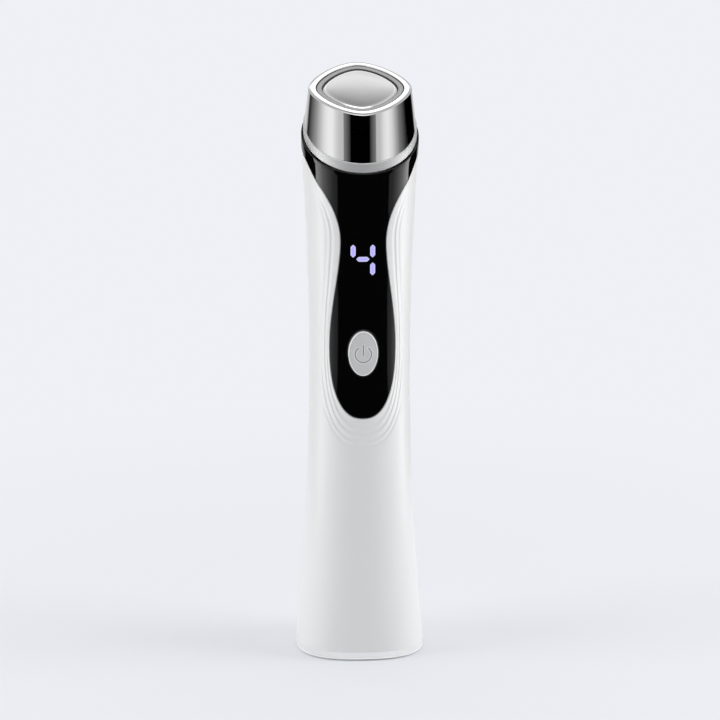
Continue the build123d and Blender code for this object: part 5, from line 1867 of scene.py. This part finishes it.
    def plate(self) -> None:
        """Makes the satin plate in the middle, gently crowned inside its bevel, which carries a painted highlight."""
        top, crown = self.rim_height - self.plate_drop - self.plate_crown, self.plate_crown
        low = self.rim_height - self.rim_thickness - self.carrier_gap
        flat_radius = self.plate_radius - self.plate_inset
        rings = self.slanted((low, self.plate_radius), (top - self.plate_bevel, self.plate_radius))
        edge, inside = self.slanted((top, flat_radius), (top, flat_radius - self.plate_run))
        rings += corner_rings(rings[1], edge, inside, self.plate_round)
        for share in (1 - step / self.plate_rings for step in range(1, self.plate_rings)):
            exponent = self.circle + (self.exponent - self.circle) * share
            radius = (flat_radius - 2 * self.plate_round) * share
            rings.append(Ring(top, self.rim_slope, radius, exponent, crown * (1 - share ** 2)))
        # Painted highlight on the plate's bevel.
        marks = dict.fromkeys(self.plate_painted_highlight, 1.0)
        poles = (Vector((0, 0, top + crown)), Vector((0, 0, low)))
        self.add(rings, SATIN_PLATE, "centre_electrode_satin", "plate_satin", "centre_electrode", marks, poles, 15)

    def build(self) -> None:
        """Makes all five round pieces."""
        inner, outer, tall = self.foot_size
        foot = self.band(0.0, tall, 0.0, inner, outer, self.foot_edges)
        self.add(foot, RUBBER, "foot_ring_soft", "foot_rubber", "foot_ring", {})
        low, slope = self.ring_height, self.ring_slope
        trim = self.band(low, low + self.ring_band, slope, self.ring_inner, self.ring_radius, self.ring_edges)
        # Painted highlight along the ring's lower outer edge.
        marks = dict.fromkeys(self.ring_painted_highlight, 1.0)
        self.add(trim, SATIN_RING, "trim_ring_satin", "ring_satin", "trim_ring", marks)
        self.head_shell()
        self.gasket()
        self.plate()


# Studio

@dataclass
class Studio:
    """Floor, soft lights, surroundings and camera, with angles in degrees and places in metres."""

    backdrop: Colour = linear("eef0f5")
    floor_half: float = 3.0
    floor_fleck: float = 0.985
    fleck_scale: float = 900.0
    mirror_reach: Span = (0.17, 0.27, 0.0, 1.0)
    haze: Span = (0.03, 0.3, 0.15, 1.0)
    camera_distance: float = 2.0
    camera_turn: float = -4.2
    camera_rise: float = 14.5
    camera_roll: float = 0.09
    camera_reach: Flat = (0.05, 20.0)
    target_height: float = 0.0915
    focal_pixels: float = 6417.0
    picture_size: float = 720.0
    sensor: float = 36.0
    centre: Flat = (359.6, 361.6)
    ambient: float = 0.62
    side_powers: Flat = (4.4, 5.6)
    side_turn: float = 80.0
    side_rise: float = 0.33
    side_distance: float = 1.05
    side_size: float = 0.7
    top_power: float = 1.8
    top_place: Point = (0.0, -0.1, 1.3)
    top_size: float = 0.9
    wall_lean: float = 21.3
    lean_most: float = 7.0
    lean_end: Span = (62.0, 95.0, 1.0, 0.0)
    wall_glow: tuple[Flat, ...] = (
        (52.2, 0.0), (52.8, 0.1), (62.0, 0.13), (75.0, 0.3), (90.0, 0.56), (100.0, 0.9), (108.4, 1.0),
        (109.0, 0.0), (146.0, 0.0), (152.0, 0.15), (180.0, 0.2),
    )
    wall_strength: float = 3.6
    wall_shift: float = 3.2
    head_glow: tuple[Flat, ...] = (
        (-180.0, 0.8), (-163.0, 0.6), (-150.0, 0.05), (-136.0, 0.04), (-118.0, 0.16), (-104.0, 0.31),
        (-91.0, 0.55), (-80.0, 0.77), (-70.0, 0.89), (-60.0, 0.89), (-51.0, 0.68), (-42.0, 0.55),
        (-34.6, 0.52), (-34.1, 0.22), (-25.0, 0.087), (-20.6, 0.03), (-19.6, 0.0), (19.6, 0.0), (20.6, 0.03),
        (25.0, 0.096), (32.6, 0.2), (33.1, 0.5), (42.0, 0.55), (51.0, 0.77), (60.0, 0.86), (70.0, 0.71),
        (80.0, 0.43), (91.0, 0.18), (104.0, 0.07), (114.0, 0.0), (146.0, 0.0), (166.0, 0.8),
    )
    head_strength: float = 1.0
    head_shift: float = 3.5
    behind: Span = (158.0, 171.0, 0.0, 1.0)
    front_sky: Span = (12.0, 34.0, 0.2, 0.62)
    back_sky: Span = (34.0, 42.0, 0.6, 1.9)
    back_fall: Flat = (40.0, 61.0)
    back_end: float = 0.2
    zenith: Span = (68.0, 78.0, 0.0, 1.0)
    zenith_glow: Colour = (1.9, 1.9, 1.9)
    head_band: Span = (-10.0, -6.0, 0.0, 1.0)
    sky_band: Span = (10.0, 24.0, 0.0, 1.0)
    side_light: Span = (27.0, 81.0, 0.55, 1.25)

    @staticmethod
    def emptied(owner: bpy.types.ID) -> Wiring:
        """Gives a world or a material an empty node tree.

        Args:
            owner: The world or material.

        Returns:
            Its tree, to be filled.
        """
        owner.use_nodes = True
        owner.node_tree.nodes.clear()
        return Wiring(owner.node_tree)

    def light_world(self) -> None:
        """Sets surroundings that each kind of ray sees in its own way."""
        world = bpy.context.scene.world = bpy.data.worlds.new("studio")
        wires = self.emptied(world)
        maths, ease, mix = wires.maths, wires.ease, wires.mix
        spot = wires.node("ShaderNodeTexCoord").outputs["Generated"]
        x, y, z = wires.node("ShaderNodeSeparateXYZ", [spot]).outputs
        turn = maths("MULTIPLY", maths("ARCTAN2", x, maths("MULTIPLY", y, -1.0)), 180 / math.pi)
        rise = maths("MULTIPLY", maths("ARCSINE", z), 180 / math.pi)
        aside = maths("ABSOLUTE", turn)
        lean = wires.spread(rise, -self.wall_lean, self.lean_most - self.wall_lean, 0.0, self.lean_most)
        lean = maths("MULTIPLY", lean, ease(aside, *self.lean_end))
        wall_turn = maths("SUBTRACT", maths("ABSOLUTE", maths("SUBTRACT", turn, self.wall_shift)), lean)
        wall = self.ramp(wires, wall_turn, self.wall_glow, self.wall_strength)
        head = self.ramp(wires, maths("ADD", turn, self.head_shift), self.head_glow, self.head_strength)
        behind = maths("ABSOLUTE", maths("WRAP", maths("SUBTRACT", turn, self.camera_turn), 180.0, -180.0))
        front = wires.grey(ease(rise, *self.front_sky))
        back = wires.grey(ease(rise, *self.back_fall, ease(rise, *self.back_sky), self.back_end))
        sky = mix(ease(rise, *self.zenith), mix(ease(behind, *self.behind), front, back), self.zenith_glow)
        glossy = mix(ease(rise, *self.sky_band), mix(ease(rise, *self.head_band), wall, head), sky)
        diffuse = wires.grey(maths("MULTIPLY", ease(aside, *self.side_light), self.ambient))
        rays = wires.node("ShaderNodeLightPath").outputs
        seen = mix(rays["Is Camera Ray"], mix(rays["Is Glossy Ray"], diffuse, glossy), self.backdrop)
        shader = wires.node("ShaderNodeBackground", {"Color": seen})
        wires.node("ShaderNodeOutputWorld", {"Surface": shader.outputs[0]})

    @staticmethod
    def ramp(
        wires: Wiring, turn: bpy.types.NodeSocket, glow: Sequence[Flat], strength: float
    ) -> bpy.types.NodeSocket:
        """Brightness by the turn from the front.

        Args:
            wires: Tree to add to.
            turn: Turn from the front in degrees, negative on the left.
            glow: Degrees and brightness of each stop.
            strength: Brightness of a full stop.

        Returns:
            The brightness as a colour.
        """
        ramp = wires.node("ShaderNodeValToRGB", [wires.spread(turn, -180.0, 180.0, 0.0, 1.0)])
        stops = ramp.color_ramp.elements
        while len(stops) > 1:
            stops.remove(stops[-1])
        for place, (degrees, value) in enumerate(glow):
            position = (degrees + 180) / 360
            stop = stops.new(position) if place else stops[0]
            stop.position, stop.color = position, (value, value, value, 1.0)
        return wires.grey(wires.maths("MULTIPLY", ramp.outputs[0], strength))

    def add_lamp(self, name: str, place: Vector, size: float, power: float) -> None:
        """Adds a soft square lamp that faces the wand and that mirrors don't show.

        Args:
            name: Its name.
            place: Where it stands.
            size: Length of its side.
            power: Its power in watts.
        """
        lamp = bpy.data.lights.new(name, "AREA")
        lamp.size, lamp.energy = size, power
        holder = in_scene(name, lamp)
        holder.location = place
        aim = Vector((0, 0, self.target_height)) - place
        holder.rotation_euler = aim.to_track_quat("-Z", "Y").to_euler()
        holder.visible_glossy = holder.visible_camera = False

    def lay_floor(self) -> None:
        """Lays the pale floor, which mirrors show only near the wand."""
        corners = [(x * self.floor_half, y * self.floor_half, 0) for x, y in ((-1, -1), (1, -1), (1, 1), (-1, 1))]
        mesh = plain_mesh("floor", corners, [(0, 1, 2, 3)])
        material = bpy.data.materials.new("floor_pale")
        wires = self.emptied(material)
        spot = wires.node("ShaderNodeTexCoord").outputs["Object"]
        away = wires.node("ShaderNodeVectorMath", [spot], operation="LENGTH").outputs["Value"]
        darker = tuple(value * self.floor_fleck for value in self.backdrop)
        colour = wires.mix(wires.noise(spot, self.fleck_scale), self.backdrop, darker)
        shader = wires.node("ShaderNodeBsdfDiffuse", {"Color": colour}).outputs[0]
        clear = wires.node("ShaderNodeBsdfTransparent").outputs[0]
        glow = wires.node("ShaderNodeEmission", {"Color": (*self.backdrop, 1.0)}).outputs[0]
        rays = wires.node("ShaderNodeLightPath").outputs
        for ray, reach, other in (("Glossy", self.mirror_reach, clear), ("Camera", self.haze, glow)):
            share = wires.maths("MULTIPLY", rays[f"Is {ray} Ray"], wires.ease(away, *reach))
            shader = wires.node("ShaderNodeMixShader", (share, shader, other)).outputs[0]
        wires.node("ShaderNodeOutputMaterial", {"Surface": shader})
        mesh.materials.append(material)
        floor = in_scene("floor", mesh)

    def place_camera(self) -> None:
        """Stands the camera where the picture was taken from."""
        turn, rise, roll = (math.radians(a) for a in (self.camera_turn, self.camera_rise, self.camera_roll))
        back = Vector((math.sin(turn) * math.cos(rise), -math.cos(turn) * math.cos(rise), math.sin(rise)))
        right = Vector((0, 0, 1)).cross(back).normalized()
        up = back.cross(right)
        across = right * math.cos(roll) + up * math.sin(roll)
        above = up * math.cos(roll) - right * math.sin(roll)
        data = bpy.data.cameras.new("camera")
        data.sensor_width = self.sensor
        data.lens = self.focal_pixels / self.picture_size * self.sensor
        data.shift_x = (self.picture_size / 2 - self.centre[0]) / self.picture_size
        data.shift_y = (self.centre[1] - self.picture_size / 2) / self.picture_size
        data.clip_start, data.clip_end = self.camera_reach
        camera = in_scene("camera", data)
        spot = Vector((0, 0, self.target_height)) + back * self.camera_distance
        basis = Matrix((across, above, back)).transposed().to_4x4()
        camera.matrix_world = Matrix.Translation(spot) @ basis
        bpy.context.scene.camera = camera

    def build(self) -> None:
        """Sets up the whole studio."""
        bpy.context.scene.view_settings.view_transform = "Standard"
        self.place_camera()
        self.lay_floor()
        self.light_world()
        turn = math.radians(self.side_turn)
        for name, side, power in zip(("left", "right"), (-1, 1), self.side_powers):
            place = Vector((side * math.sin(turn), -math.cos(turn), self.side_rise)) * self.side_distance
            self.add_lamp(f"lamp_{name}", place, self.side_size, power)
        self.add_lamp("lamp_top", Vector(self.top_place), self.top_size, self.top_power)


def main() -> None:
    """Dresses the whole wand and lights it."""
    logging.basicConfig(level=logging.INFO, format="%(name)s: %(message)s")
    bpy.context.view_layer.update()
    Studio().build()
    book = FinishBook()
    InnerDress().dress(book)
    wrap, repeat = WrapTree(), RepeatTree()
    BodyShell(book, wrap).build()
    digit = DigitBars(book, wrap)
    FrontPanel(book, wrap).build(digit)
    digit.build(repeat)
    PowerButton(book, wrap).build()
    Head(book).build()


if __name__ == "__main__":
    main()
